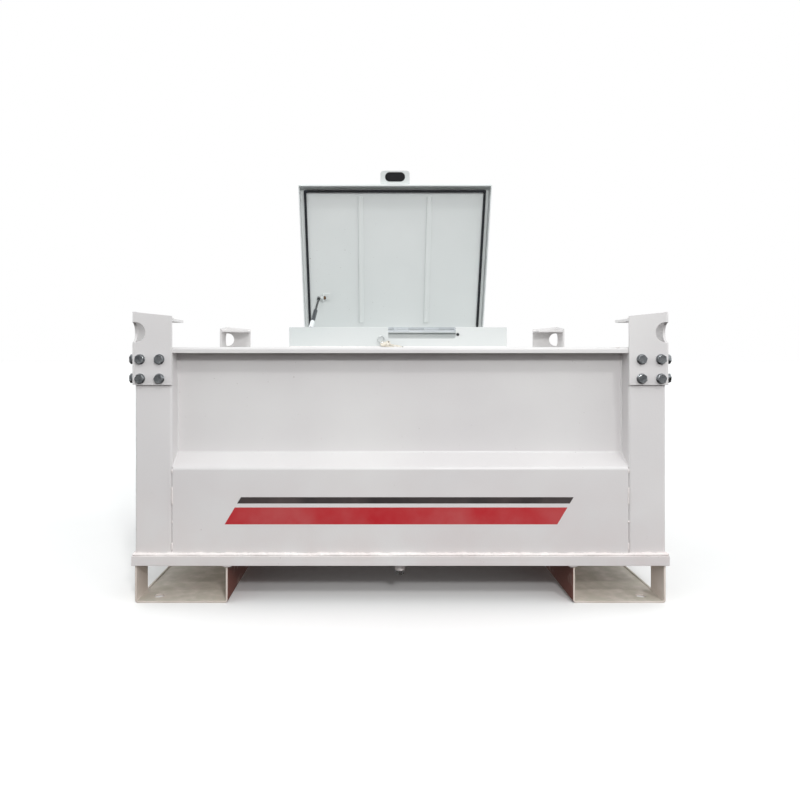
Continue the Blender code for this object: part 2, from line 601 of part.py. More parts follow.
def make_strut(steel, black, hinge_line):
    """A gas strut: tube on the cabinet's left wall, rod on the lid."""
    foot = STRUT_FOOT
    head = strut_head()
    along = head - foot
    length = along.length
    shoulder = length - STRUT_ROD_SHOWING
    end = STRUT_END_RADIUS
    tube_place = bpy.data.objects.new("strut_foot_pivot", None)
    bpy.context.scene.collection.objects.link(tube_place)
    tube_place.location = foot
    tube_place.rotation_mode = "QUATERNION"
    tube_place.rotation_quaternion = Vector((0, 0, 1)).rotation_difference(along)
    tube = add_turned(
        "strut_tube",
        [(0, 0), (STRUT_NECK_RADIUS, 0), (STRUT_NECK_RADIUS, STRUT_NECK_LENGTH)]
        + [(STRUT_TUBE_RADIUS, STRUT_SHOULDER), (STRUT_TUBE_RADIUS, shoulder), (STRUT_BORE_RADIUS, shoulder)]
        + [(STRUT_BORE_RADIUS, STRUT_TUBE_BOTTOM), (0, STRUT_TUBE_BOTTOM)],
        (0, 0, 0),
        (0, 0, 1),
        black,
        tube_place,
        steps=16,
    )
    eye = [(0, -end), (end, -end), (end, end), (0, end)]
    join(tube, add_turned("tube_eye", eye, (0, 0, 0), (1, 0, 0), black, steps=16))
    rod = add_turned(
        "strut_rod",
        [(0, shoulder - STRUT_ROD_INSIDE), (STRUT_ROD_RADIUS, shoulder - STRUT_ROD_INSIDE)]
        + [(STRUT_ROD_RADIUS, length), (0, length)],
        (0, 0, 0),
        (0, 0, 1),
        steel,
        tube_place,
        steps=16,
    )
    join(rod, add_turned("rod_eye", eye, (0, 0, length), (1, 0, 0), steel, steps=16))
    wall = -CABINET_WIDTH / 2 + SHEET + GAP
    half = MOUNT_WIDTH / 2
    low = (wall, foot.y - half, foot.z - half)
    plate = add_box("strut_mount_cabinet", low, (wall + MOUNT_PLATE, foot.y + half, foot.z + half), steel)
    reach = foot.x - end - STRUT_END_GAP - wall
    stud = [(0, 0), (end, 0), (end, reach), (0, reach)]
    join(plate, add_turned("stud_cabinet", stud, (wall, foot.y, foot.z), (1, 0, 0), steel, steps=16))
    start = STRUT_LID_X + end + STRUT_END_GAP
    left = start + EAR_STUD
    under = LID_FACE - GAP
    reach = -STRUT_LID_REACH
    low = (left, reach - half, -STRUT_LID_DROP - end)
    ear = add_box("strut_mount_lid", low, (left + MOUNT_PLATE, reach + half, under), steel, hinge_line)
    low = (left, reach - half, under - MOUNT_PLATE)
    join(ear, add_box("ear_flange", low, (left + MOUNT_WIDTH, reach + half, under), steel))
    deep = EAR_STUD + MOUNT_PLATE / 2
    stud = [(0, 0), (end, 0), (end, deep), (0, deep)]
    join(ear, add_turned("stud_lid", stud, (start, reach, -STRUT_LID_DROP), (1, 0, 0), steel, steps=16))


def main():
    clear_scene()
    white = make_material("white_enamel_on_steel", (0.80, 0.79, 0.78), 0.38)
    inner_white = make_material("inner_tank_enamel", (0.72, 0.73, 0.72), 0.45)
    foot_paint = make_material("worn_foot_enamel", (0.62, 0.58, 0.53), 0.50)
    rubber = make_material("black_sponge_rubber", (0.02, 0.02, 0.022), 0.85)
    plastic = make_material("black_moulded_plastic", (0.015, 0.015, 0.016), 0.45)
    zinc = make_material("zinc_plated_steel", (0.60, 0.60, 0.58), 0.35, 1.0)
    black = make_material("black_strut_enamel", (0.02, 0.022, 0.025), 0.30)

    hinge_line = bpy.data.objects.new("lid_hinge_line", None)
    bpy.context.scene.collection.objects.link(hinge_line)
    hinge_line.location = (0, HINGE_Y, HINGE_Z)
    hinge_line.rotation_euler.x = -LID_OPEN

    make_base(white)
    make_foot("foot_left", -1, foot_paint)
    make_foot("foot_right", 1, foot_paint)
    make_drain(foot_paint)
    make_posts(white)
    make_walls(white)
    make_top(white)
    make_brackets(white)
    make_cabinet(white)
    make_inner_tank(inner_white, plastic)
    make_lid(white, rubber, plastic, hinge_line)
    make_hinge(zinc, hinge_line)
    make_strut(zinc, black, hinge_line)


main()
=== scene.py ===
"""The looks of a double-walled diesel tank on fork-pocket feet, with its equipment lid held open.

Metres, +Z up, the front faces -Y. Lid pieces are made closed, about the hinge line, then turned open.
"""

import json
from math import ceil, cos, pi, radians, sin, sqrt
from random import Random

import bmesh
import bpy
from mathutils import Matrix, Vector, noise


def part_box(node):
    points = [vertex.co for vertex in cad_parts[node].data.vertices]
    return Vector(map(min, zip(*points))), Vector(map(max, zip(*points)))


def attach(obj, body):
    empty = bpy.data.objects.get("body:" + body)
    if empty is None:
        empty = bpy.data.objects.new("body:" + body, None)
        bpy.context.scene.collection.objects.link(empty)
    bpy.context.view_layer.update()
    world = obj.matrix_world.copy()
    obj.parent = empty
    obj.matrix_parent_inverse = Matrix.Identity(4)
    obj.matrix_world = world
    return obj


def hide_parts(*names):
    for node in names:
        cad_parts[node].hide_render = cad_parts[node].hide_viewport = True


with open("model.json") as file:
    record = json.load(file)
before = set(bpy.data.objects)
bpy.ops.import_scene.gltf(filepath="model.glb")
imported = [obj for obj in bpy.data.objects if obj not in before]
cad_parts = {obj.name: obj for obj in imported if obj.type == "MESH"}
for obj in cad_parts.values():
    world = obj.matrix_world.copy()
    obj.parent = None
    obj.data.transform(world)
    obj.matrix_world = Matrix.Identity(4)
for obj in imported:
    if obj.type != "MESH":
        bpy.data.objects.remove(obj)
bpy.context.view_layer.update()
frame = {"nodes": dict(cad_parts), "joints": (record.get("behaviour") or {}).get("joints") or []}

nodes = frame["nodes"]
joints = {joint["name"]: joint for joint in frame["joints"]}
chance = Random(11)

CORNERS = (("front_left", -1, -1), ("front_right", 1, -1), ("back_left", -1, 1), ("back_right", 1, 1))

# The walls' recess and its sloping shoulder
RECESS = 0.054
SLOPE = (0.383, 0.418)

# The tank's main lines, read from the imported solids
HALF_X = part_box("base_plate")[1].x
HALF_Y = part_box("base_plate")[1].y
BASE_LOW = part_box("base_plate")[0].z
RAIL_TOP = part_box("base_rail_front")[1].z
RIM_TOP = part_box("top_plate")[1].z
WALL_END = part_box("wall_front")[1].x
SIDE_WALL_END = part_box("wall_right")[1].y
BRACKET_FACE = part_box("lifting_bracket_front_right")[1].x - HALF_X
CABINET_LOW, CABINET_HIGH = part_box("cabinet_front")
CABINET_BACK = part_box("cabinet_back")[1].y

# The lid's frame: closed at the hinge line, then turned open
HINGE = Vector(joints["lid_hinge"]["pos_m"])
OPEN_ANGLE = radians(69)
LID_TURN = Matrix.Translation(HINGE) @ Matrix.Rotation(-OPEN_ANGLE, 4, "X")
STRUT_FOOT = Vector(joints["strut_foot_pivot"]["pos_m"])
STRUT_EYE = Vector((-0.2925, -0.1414, -0.006))
STRUT_HEAD = LID_TURN @ STRUT_EYE
STRUT_LENGTH = (STRUT_HEAD - STRUT_FOOT).length
ROD_SHOWING = 0.141
STRUT_BORE = 0.135
EAR_FACE = 0.0156

# Bolts of the lifting corners: M16 hexagon heads on plain washers
BOLT_FROM_SIDE = (0.017, 0.0715)
BOLT_HEIGHTS = (0.6342, 0.6887)
HEAD_ACROSS = 0.024
HEAD_HEIGHT = 0.0078
WASHER_RADIUS = 0.0145
WASHER_THICK = 0.003

# Strengths of the lamps and of the room's light
LOW_LAMP = 156.0
HIGH_LAMP = 0.56
CEILING = 0.0
WALLS = 0.774
SIDES = 2.335
GROUND = 0.055

# Sheets that are made flat here and then folded: thickness, outer bend radius and cuts
POST_WIDTH = 0.105
POST_RETURN = 0.058
POST_SHEET = 0.005
TOP_SHEET = 0.004
LIP_BEND = 0.008
LIP_RELIEF = 0.0015
LEAF = 0.114
LEAF_PLATE = 0.0077
LEAF_BEND = 0.0127
LEAF_TIP = 0.8226
LEAF_END = 0.811
EYE_HEIGHT = 0.7646
EYE_RADIUS = 0.0284
EYE_STRAIGHT = 0.0039
EYE_SIDE_REACH = 0.0223
GUSSET = (0.796, 0.804)
FOOT_SHEET = 0.0055
FOOT_BEND = 0.008
COLLAR = 0.091
HOLE_RADIUS = 0.014
HOLE_CELL = 0.020
HOLE_FROM_SIDE = 0.055
HOLE_FROM_END = 0.043


def linear(code):
    """An sRGB hex colour as linear red, green and blue, with alpha."""
    parts = [int(code[start : start + 2], 16) / 255 for start in (1, 3, 5)]
    return (*[part / 12.92 if part <= 0.04045 else ((part + 0.055) / 1.055) ** 2.4 for part in parts], 1.0)


def add_node(tree, kind, links=None, out=0, **settings):
    """Adds a node and returns one output. links gives each input by name or number a value, or a socket
    to take it from."""
    made = tree.nodes.new(kind)
    for name, value in settings.items():
        setattr(made, name, value)
    for key, value in (links or {}).items():
        if isinstance(value, bpy.types.NodeSocket):
            tree.links.new(value, made.inputs[key])
        else:
            made.inputs[key].default_value = value
    return None if out is None else made.outputs[out]


def start_material(name, roughness, metallic=0.0, colour="#FFFFFF"):
    """A new material's tree, its shader, and the place on the piece in metres."""
    material = bpy.data.materials.new(name)
    material.use_nodes = True
    tree = material.node_tree
    shader = tree.nodes["Principled BSDF"]
    shader.inputs["Roughness"].default_value = roughness
    shader.inputs["Metallic"].default_value = metallic
    shader.inputs["Base Color"].default_value = linear(colour)
    material.diffuse_color = linear(colour)
    return material, tree, shader, add_node(tree, "ShaderNodeTexCoord", out="Object")


def add_grain(tree, place, size, detail=2.0, low=0.35, high=0.65, stretch=(1, 1, 1)):
    """Noise whose patches are about size metres across, spread out to run from 0 to 1."""
    spread = [1 / size / part for part in stretch]
    moved = add_node(tree, "ShaderNodeMapping", {"Vector": place, "Scale": spread})
    grain = add_node(tree, "ShaderNodeTexNoise", {"Vector": moved, "Scale": 1.0, "Detail": detail})
    return add_node(tree, "ShaderNodeMapRange", {"Value": grain, "From Min": low, "From Max": high})


def lay_colour(tree, shader, under, layers):
    """Lays colours over one another, each by its share, and gives the result to the shader."""
    for share, colour in layers:
        under = add_node(tree, "ShaderNodeMix", {0: share, 6: under, 7: linear(colour)}, out=2, data_type="RGBA")
    tree.links.new(under, shader.inputs["Base Color"])


def add_bumps(tree, shader, layers):
    """Bump from several (height socket, depth in metres) layers."""
    normal = None
    for height, depth in layers:
        links = {"Height": height, "Distance": depth, "Strength": 1.0}
        if normal:
            links["Normal"] = normal
        normal = add_node(tree, "ShaderNodeBump", links)
    tree.links.new(normal, shader.inputs["Normal"])


def make_enamel(name, clean, thin, low_dust_and_bounce=0.30, gloss=0.36, striped=False):
    """Sprayed polyurethane enamel on steel sheet: an even semi-gloss white, a little thinner in places,
    with an orange-peel skin, slow waves of the sheet in its reflections, and a reddish film low down that is partly
    yard dust and partly a painted warm bounce of light from the floor."""
    material, tree, shader, place = start_material(name, gloss, colour=clean)
    layers = [(add_grain(tree, place, 0.45, 3.0), thin)]
    if striped:
        layers += add_stripes(tree, place)
    height = add_node(tree, "ShaderNodeSeparateXYZ", {0: place}, out="Z")
    low = {"Value": height, "From Min": 0.08, "From Max": 0.42, "To Min": low_dust_and_bounce, "To Max": 0.0}
    dust_and_bounce_film = {0: add_node(tree, "ShaderNodeMapRange", low), 1: add_grain(tree, place, 0.11, 5.0, 0.25, 0.70)}
    # Reddish towards the bottom: partly dust, partly painted warm light thrown up from the floor.
    layers.append((add_node(tree, "ShaderNodeMath", dust_and_bounce_film, operation="MULTIPLY"), "#CFB6B1"))
    specks = {0: add_grain(tree, place, 0.005, 1.0, 0.77, 0.82), 1: add_grain(tree, place, 0.16, 2.0, 0.45, 0.60)}
    layers.append((add_node(tree, "ShaderNodeMath", specks, operation="MULTIPLY"), "#8E8178"))
    lay_colour(tree, shader, linear(clean), layers)
    smears = add_grain(tree, place, 0.06, 4.0, 0.3, 0.7, stretch=(1, 1, 4))
    rough = {"Value": smears, "To Min": gloss - 0.05, "To Max": gloss + 0.08}
    tree.links.new(add_node(tree, "ShaderNodeMapRange", rough), shader.inputs["Roughness"])
    # Real orange peel is 1 to 2 mm across. It is drawn at 5 mm so that it shows.
    peel = add_grain(tree, place, 0.005, 1.0)
    sheet_waves = add_grain(tree, place, 0.30, 1.0)
    add_bumps(tree, shader, [(sheet_waves, 0.0012), (peel, 0.00005)])
    return material


def add_stripes(tree, place):
    """Plain painted bands with slanted ends on the front's lower panel: black above red."""
    across = add_node(tree, "ShaderNodeSeparateXYZ", {0: place}, out="X")
    height = add_node(tree, "ShaderNodeSeparateXYZ", {0: place}, out="Z")
    slanted = add_node(tree, "ShaderNodeMath", {0: height, 1: -0.6, 2: across}, operation="MULTIPLY_ADD")
    in_length = add_node(tree, "ShaderNodeMath", {0: slanted, 1: -0.16, 2: 0.470}, operation="COMPARE")
    bands = []
    for colour, middle, half_height in (("#17181B", 0.290, 0.009), ("#B5121F", 0.246, 0.024)):
        in_height = add_node(tree, "ShaderNodeMath", {0: height, 1: middle, 2: half_height}, operation="COMPARE")
        bands.append((add_node(tree, "ShaderNodeMath", {0: in_height, 1: in_length}, operation="MULTIPLY"), colour))
    return bands


def make_foot_enamel():
    """Enamel on the pressed feet, sprayed thinly where the gun reached badly: beige-grey with trodden dust on the
    floors, and a dark reddish brown laid on the faces of the inner legs that look at each other."""
    material, tree, shader, place = start_material("worn_enamel_on_feet", 0.5, colour="#D6CCC4")
    normal = add_node(tree, "ShaderNodeTexCoord", out="Normal")
    thin = add_grain(tree, place, 0.09, 4.0)
    # The floor inside the pocket faces up and is low: dust lies there.
    upward = {"Value": add_node(tree, "ShaderNodeSeparateXYZ", {0: normal}, out="Z"), "From Min": 0.5, "From Max": 0.9}
    dust = {0: add_node(tree, "ShaderNodeMapRange", upward), 1: add_grain(tree, place, 0.035, 5.0, 0.2, 0.6)}
    dust = add_node(tree, "ShaderNodeMath", dust, operation="MULTIPLY")
    # Inner legs: a face whose normal points to the middle of the tank is laid dark reddish brown.
    across = add_node(tree, "ShaderNodeSeparateXYZ", {0: place}, out="X")
    inward = {0: across, 1: add_node(tree, "ShaderNodeSeparateXYZ", {0: normal}, out="X")}
    inward = add_node(tree, "ShaderNodeMath", inward, operation="MULTIPLY")
    inward = add_node(tree, "ShaderNodeMapRange", {"Value": inward, "From Min": -0.20, "From Max": -0.42})
    reach = add_node(tree, "ShaderNodeMath", {0: across}, operation="ABSOLUTE")
    near = add_node(tree, "ShaderNodeMapRange", {"Value": reach, "From Min": 0.4925, "From Max": 0.4900})
    inward_face_brown = add_node(tree, "ShaderNodeMath", {0: inward, 1: near}, operation="MULTIPLY")
    inward_face_brown = {0: inward_face_brown, 1: add_grain(tree, place, 0.05, 4.0, 0.22, 0.42)}
    inward_face_brown = add_node(tree, "ShaderNodeMath", inward_face_brown, operation="MULTIPLY")
    lay_colour(tree, shader, linear("#DED3CB"), [(thin, "#C9BDB3"), (dust, "#BDB7AA"), (inward_face_brown, "#8A5A50")])
    rough = add_node(tree, "ShaderNodeMapRange", {"Value": dust, "To Min": 0.45, "To Max": 0.8})
    tree.links.new(rough, shader.inputs["Roughness"])
    add_bumps(tree, shader, [(thin, 0.0004), (add_grain(tree, place, 0.004, 2.0), 0.00008)])
    return material


def make_zinc(name, bright, dull, roughness):
    """Electroplated zinc on steel: a cool grey metal, cloudy from one patch to the next."""
    material, tree, shader, place = start_material(name, roughness, 1.0, bright)
    clouds = add_grain(tree, place, 0.012, 4.0)
    lay_colour(tree, shader, linear(bright), [(clouds, dull)])
    rough = {"Value": clouds, "To Min": roughness - 0.08, "To Max": roughness + 0.12}
    tree.links.new(add_node(tree, "ShaderNodeMapRange", rough), shader.inputs["Roughness"])
    add_bumps(tree, shader, [(add_grain(tree, place, 0.002, 2.0), 0.00004)])
    return material


def make_dark(name, colour, worn, roughness, grain_size, depth):
    """A black moulding or coating: nearly black, greyer where it is rubbed, with a fine skin."""
    material, tree, shader, place = start_material(name, roughness, colour=colour)
    lay_colour(tree, shader, linear(colour), [(add_grain(tree, place, 0.03, 4.0), worn)])
    skin = add_grain(tree, place, grain_size, 2.0)
    rough = {"Value": skin, "To Min": roughness - 0.06, "To Max": roughness + 0.08}
    tree.links.new(add_node(tree, "ShaderNodeMapRange", rough), shader.inputs["Roughness"])
    add_bumps(tree, shader, [(skin, depth)])
    return material


WHITE = make_enamel("semi_gloss_enamel_on_sheet", "#DEDCDB", "#D6D3D3")
FRONT_WHITE = make_enamel("semi_gloss_enamel_with_painted_stripes", "#DEDCDB", "#D6D3D3", striped=True)
# The cabinet's enamel is set darker than the body's to offset the strong light that falls on it: painted shade.
CABINET_ENAMEL_DARKENED_AS_SHADE = make_enamel("semi_gloss_enamel_on_cabinet_darkened_as_shade", "#CFD1D0", "#C8CDCC", low_dust_and_bounce=0.0)
# The lid's enamel is set lighter than the body's for the light thrown up onto it from the top sheet: painted light.
LID_ENAMEL_LIGHTENED_AS_LIGHT = make_enamel("semi_gloss_enamel_on_lid_lightened_as_light", "#E8EBEA", "#E1E5E4", low_dust_and_bounce=0.0, gloss=0.40)
# The hinge's enamel is a darker grey for the shade at the foot of the open lid: painted shade.
HINGE_ENAMEL_DARKENED_AS_SHADE = make_enamel("enamel_over_hinge_darkened_as_shade", "#C9CDD0", "#B9BDC0", low_dust_and_bounce=0.0, gloss=0.62)
# Weld enamel is lighter than the sheet's for the bright line that the beads catch: painted highlight.
WELD_ENAMEL_LIGHTENED_AS_HIGHLIGHT = make_enamel("enamel_over_weld_lightened_as_highlight", "#F0ECEA", "#E6E0DE", low_dust_and_bounce=0.3, gloss=0.28)
INNER_GREY = make_enamel("grey_enamel_on_inner_tank", "#D5D9D8", "#C6CBCA", low_dust_and_bounce=0.0, gloss=0.42)
FOOT = make_foot_enamel()
BOLT_ZINC = make_zinc("zinc_plate_on_bolts", "#9C9FA1", "#66696C", 0.34)
BRIGHT_ZINC = make_zinc("bright_zinc_plate", "#DADDDC", "#B9BCBC", 0.28)
KEY_METAL = make_zinc("nickel_plated_brass", "#DDD8CE", "#C2BBAD", 0.42)
# Dark steel for the discs of painted shade in the key holes, and for the blade's tip.
KEY_HOLE_SHADE_METAL = make_zinc("dark_steel_for_key_hole_shade_and_tip", "#4A4642", "#2E2B28", 0.55)
BROWN_NUT = make_zinc("yellow_chromate_gone_brown", "#7A6049", "#4C3A2C", 0.48)
# Closed-cell sponge rubber: matt, near black with a blue cast, cells drawn at 1.5 mm so that they show.
SPONGE = make_dark("black_sponge_rubber", "#0C0E14", "#1A1D26", 0.55, 0.0015, 0.0003)
# Moulded ABS: an even black with a fine spark-eroded skin.
BLACK_PLASTIC = make_dark("black_moulded_plastic", "#101113", "#1B1C1F", 0.42, 0.0012, 0.00005)
# Cathodic enamel on the strut's tube, with a blue-grey gloss, and nitride on its rod.
STRUT_ENAMEL = make_dark("strut_gloss_enamel", "#1A2028", "#252D37", 0.24, 0.003, 0.00002)
ROD_NITRIDE = make_dark("nitrided_rod", "#0D1012", "#161A1D", 0.20, 0.004, 0.00001)
LABEL_VINYL = make_enamel("plain_white_vinyl_band", "#F0F2F2", "#E4E7E8", low_dust_and_bounce=0.0, gloss=0.30)


def new_piece(name, bm, material, body, replaced=(), smooth_under=32):
    """Makes a piece of the object from a mesh, and says what it moves with and what it stands for."""
    mesh = bpy.data.meshes.new(name)
    bm.to_mesh(mesh)
    bm.free()
    mesh.materials.append(material)
    mesh.shade_smooth()
    mesh.set_sharp_from_angle(angle=radians(smooth_under))
    piece = bpy.data.objects.new(name, mesh)
    bpy.context.scene.collection.objects.link(piece)
    even = piece.modifiers.new("Even shading", "WEIGHTED_NORMAL")
    even.keep_sharp = True
    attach(piece, body)
    if replaced:
        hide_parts(*replaced)
    return piece


def put(whole, part, matrix=None):
    """Adds a finished shape to a piece's mesh, moved to its place."""
    if matrix:
        bmesh.ops.transform(part, matrix=matrix, verts=part.verts)
    scrap = bpy.data.meshes.new("scrap")
    part.to_mesh(scrap)
    part.free()
    whole.from_mesh(scrap)
    bpy.data.meshes.remove(scrap)


def facing(place, axis, turn=0.0):
    """The matrix that stands a shape made along +Z at a place, along an axis."""
    tilt = Vector((0, 0, 1)).rotation_difference(Vector(axis)).to_matrix().to_4x4()
    return Matrix.Translation(place) @ tilt @ Matrix.Rotation(turn, 4, "Z")


def round_edges(bm, edges, radius, segments):
    bmesh.ops.bevel(
        bm,
        geom=edges,
        offset=radius,
        offset_type="OFFSET",
        affect="EDGES",
        segments=segments,
        profile=0.5,
        material=-1,
        clamp_overlap=True,
    )


def make_turned(profile, steps=32):
    """A closed form spun from (radius, height) points about Z."""
    bm = bmesh.new()
    points = [bm.verts.new((radius, 0, height)) for radius, height in profile]
    edges = [bm.edges.new(pair) for pair in zip(points, points[1:])]
    bmesh.ops.spin(
        bm, geom=points + edges, axis=(0, 0, 1), cent=(0, 0, 0), steps=steps, angle=2 * pi, use_merge=True
    )
    bmesh.ops.remove_doubles(bm, verts=bm.verts, dist=1e-6)
    bmesh.ops.recalc_face_normals(bm, faces=bm.faces)
    return bm


def make_block(low, high, radius=0.001, segments=2):
    """A rectangular bar with rounded edges."""
    bm = bmesh.new()
    bmesh.ops.create_cube(bm, size=1.0)
    bmesh.ops.scale(bm, vec=Vector(high) - Vector(low), verts=bm.verts)
    bmesh.ops.translate(bm, vec=(Vector(high) + Vector(low)) / 2, verts=bm.verts)
    round_edges(bm, bm.edges[:], radius, segments)
    return bm


def is_edge_of_sheet(face, thickness):
    """Whether a face is the cut edge of a sheet, and not one of its two sides."""
    points = [vert.co for vert in face.verts]
    reach = max((first - second).length for first in points for second in points)
    return face.calc_area() / reach < 1.6 * thickness


def soften(node, material, thickness=None, fold=0.003, edge=0.0008, body="tank", name=None):
    """A piece that follows a CAD solid, with its folds bent to a radius and its cut edges taken off."""
    bm = bmesh.new()
    bm.from_mesh(nodes[node].data)
    bmesh.ops.remove_doubles(bm, verts=bm.verts, dist=1e-5)
    bmesh.ops.dissolve_limit(bm, angle_limit=radians(0.5), verts=bm.verts, edges=bm.edges)
    if thickness:
        for hollow, radius in ((True, fold), (False, fold + thickness)):
            bends = []
            for bend in sharp_edges(bm):
                is_hollow = bend.calc_face_angle_signed() < 0
                if is_hollow == hollow and not any(is_edge_of_sheet(face, thickness) for face in bend.link_faces):
                    bends.append(bend)
            if bends:
                round_edges(bm, bends, radius, 6)
    round_edges(bm, sharp_edges(bm), edge, 2)
    return new_piece(name or node + "_finished", bm, material, body, (node,))


def sharp_edges(bm):
    bm.normal_update()
    bm.edges.ensure_lookup_table()
    return [edge for edge in bm.edges if edge.is_manifold and edge.calc_face_angle() > radians(32)]


def grid_loops(columns, rows, is_sheet):
    """Corner loops of the cells between columns and rows that hold sheet."""
    loops = []
    for left, right in zip(columns, columns[1:]):
        for low, high in zip(rows, rows[1:]):
            if is_sheet((left + right) / 2, (low + high) / 2):
                loops.append([(left, low), (right, low), (right, high), (left, high)])
    return loops


def ring_loops(across, up, half, radius):
    """Four loops that fill a square cell round a hole."""
    loops = []
    for quarter in range(4):
        turns = [pi / 4 + pi / 2 * (quarter + step / 6) for step in range(7)]
        curve = [(across + radius * cos(turn), up + radius * sin(turn)) for turn in turns]
        reach = half * sqrt(2)
        ends = [(across + reach * cos(turn), up + reach * sin(turn)) for turn in (turns[0], turns[-1])]
        loops.append(ends + curve[::-1])
    return loops


def fold_lines(runs, radius, steps=6):
    """Distances along a folded sheet where its mesh has lines: both ends, and steps through each bend."""
    lines, reached = [0.0], 0.0
    for run in runs[:-1]:
        bend = radius * pi / 2
        lines += [reached + run + bend * step / steps for step in range(steps + 1)]
        reached += run + bend
    return lines + [reached + runs[-1]]


def fold_point(runs, radius, along, depth):
    """Where a point of a sheet lies in its section: straight runs, with quarter turns to the left between."""
    spot, way, left = Vector((0, 0)), Vector((1, 0)), Vector((0, 1))
    for run in runs[:-1]:
        if along <= run:
            break
        centre = spot + way * run + left * radius
        turn = (along - run) / radius
        if turn <= pi / 2:
            return centre + (way * sin(turn) - left * cos(turn)) * (radius - depth)
        spot, way, left = centre + way * radius, left, -way
        along -= run + radius * pi / 2
    return spot + way * along + left * depth


def make_sheet(loops, thickness, edge, place):
    """Cuts a plate from flat loops of (along, up) points, eases its cut edges, then moves every point of it
    to the place that it takes when the plate is folded."""
    bm = bmesh.new()
    made = {}
    for loop in loops:
        keys = [(round(along, 6), round(up, 6)) for along, up in loop]
        for key in keys:
            if key not in made:
                made[key] = bm.verts.new((key[0], 0, key[1]))
        bm.faces.new([made[key] for key in keys])
    grown = bmesh.ops.extrude_face_region(bm, geom=bm.faces[:])
    moved = [part for part in grown["geom"] if isinstance(part, bmesh.types.BMVert)]
    bmesh.ops.translate(bm, vec=(0, thickness, 0), verts=moved)
    bmesh.ops.recalc_face_normals(bm, faces=bm.faces)
    round_edges(bm, sharp_edges(bm), edge, 2)
    for vert in bm.verts:
        vert.co = place(*vert.co)
    if bm.calc_volume(signed=True) < 0:
        bmesh.ops.reverse_faces(bm, faces=bm.faces)
    return bm


def add_posts():
    """Corner posts: one sheet each, folded at the corner and again into the recess on both sides."""
    low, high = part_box("corner_post_front_left")
    runs = [POST_RETURN - LIP_BEND, POST_WIDTH - 2 * LIP_BEND, POST_WIDTH - 2 * LIP_BEND, POST_RETURN - LIP_BEND]
    loops = grid_loops(fold_lines(runs, LIP_BEND), [low.z, high.z], lambda along, up: True)
    for name, side_x, side_y in CORNERS:

        def place(along, depth, up, side_x=side_x, side_y=side_y):
            inward, across = fold_point(runs, LIP_BEND, along, depth)
            return (side_x * (HALF_X - POST_WIDTH + across), side_y * (HALF_Y - POST_RETURN + inward), up)

        bm = make_sheet(loops, POST_SHEET, 0.0008, place)
        new_piece("folded_post_" + name, bm, WHITE, "tank", ("corner_post_" + name,))


def add_brackets():
    """Lifting corners: thick plates bent round the posts, with the eye cut through the bend, and a gusset."""
    bend = LEAF_BEND * pi / 2
    run = LEAF - LEAF_BEND
    runs = [run, run]
    turns = [step * pi / 12 for step in range(7)]
    side_eye = [LEAF - LEAF_PLATE - EYE_SIDE_REACH * cos(turn) for turn in turns]
    front_start = run + bend - LEAF_BEND
    front_eye = [front_start + LEAF_PLATE + EYE_STRAIGHT + EYE_RADIUS * cos(turn) for turn in turns]
    columns = sorted(set(fold_lines(runs, LEAF_BEND) + side_eye + front_eye))

    def half_eye(along):
        """Half the eye's height at a column, or 0 where the plate is whole."""
        if along > run + bend / 2:
            inside = (along - front_start - LEAF_PLATE - EYE_STRAIGHT) / EYE_RADIUS
        else:
            inside = (LEAF - along - LEAF_PLATE) / EYE_SIDE_REACH
        return EYE_RADIUS * sqrt(max(0.0, 1 - max(0.0, inside) ** 2))

    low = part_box("lifting_bracket_front_left")[0].z
    loops = []
    for left, right in zip(columns, columns[1:]):
        tops = []
        for along in (left, right):
            inside = max(along - front_start, LEAF - along) if abs(along - run - bend / 2) > bend / 2 else 0
            tops.append(LEAF_TIP + (LEAF_END - LEAF_TIP) * inside / LEAF)
        eyes = [half_eye(left), half_eye(right)]
        if max(eyes) < 1e-6:
            loop = [(left, low), (right, low)]
            if right == side_eye[0]:
                loop.append((right, EYE_HEIGHT))
            loop += [(right, tops[1]), (left, tops[0])]
            if left == front_eye[0]:
                loop.append((left, EYE_HEIGHT))
            loops.append(loop)
            continue
        under = [(left, low), (right, low), (right, EYE_HEIGHT - eyes[1]), (left, EYE_HEIGHT - eyes[0])]
        over = [(left, EYE_HEIGHT + eyes[0]), (right, EYE_HEIGHT + eyes[1]), (right, tops[1]), (left, tops[0])]
        loops += [under, over]
    for name, side_x, side_y in CORNERS:

        def place(along, depth, up, side_x=side_x, side_y=side_y):
            beside, across = fold_point(runs, LEAF_BEND, along, depth)
            far_x, far_y = HALF_X + BRACKET_FACE, HALF_Y + BRACKET_FACE
            return (side_x * (far_x - across), side_y * (far_y - LEAF + beside), up)

        bm = make_sheet(loops, LEAF_PLATE, 0.001, place)
        ends_x = (side_x * (HALF_X + 0.002), side_x * (HALF_X + BRACKET_FACE - LEAF))
        ends_y = (side_y * (HALF_Y + 0.002), side_y * (HALF_Y + BRACKET_FACE - LEAF))
        near = (min(ends_x), min(ends_y), GUSSET[0])
        put(bm, make_block(near, (max(ends_x), max(ends_y), GUSSET[1])))
        replaced = "lifting_bracket_" + name
        new_piece("bent_lifting_corner_" + name, bm, WHITE, "tank", (replaced,))


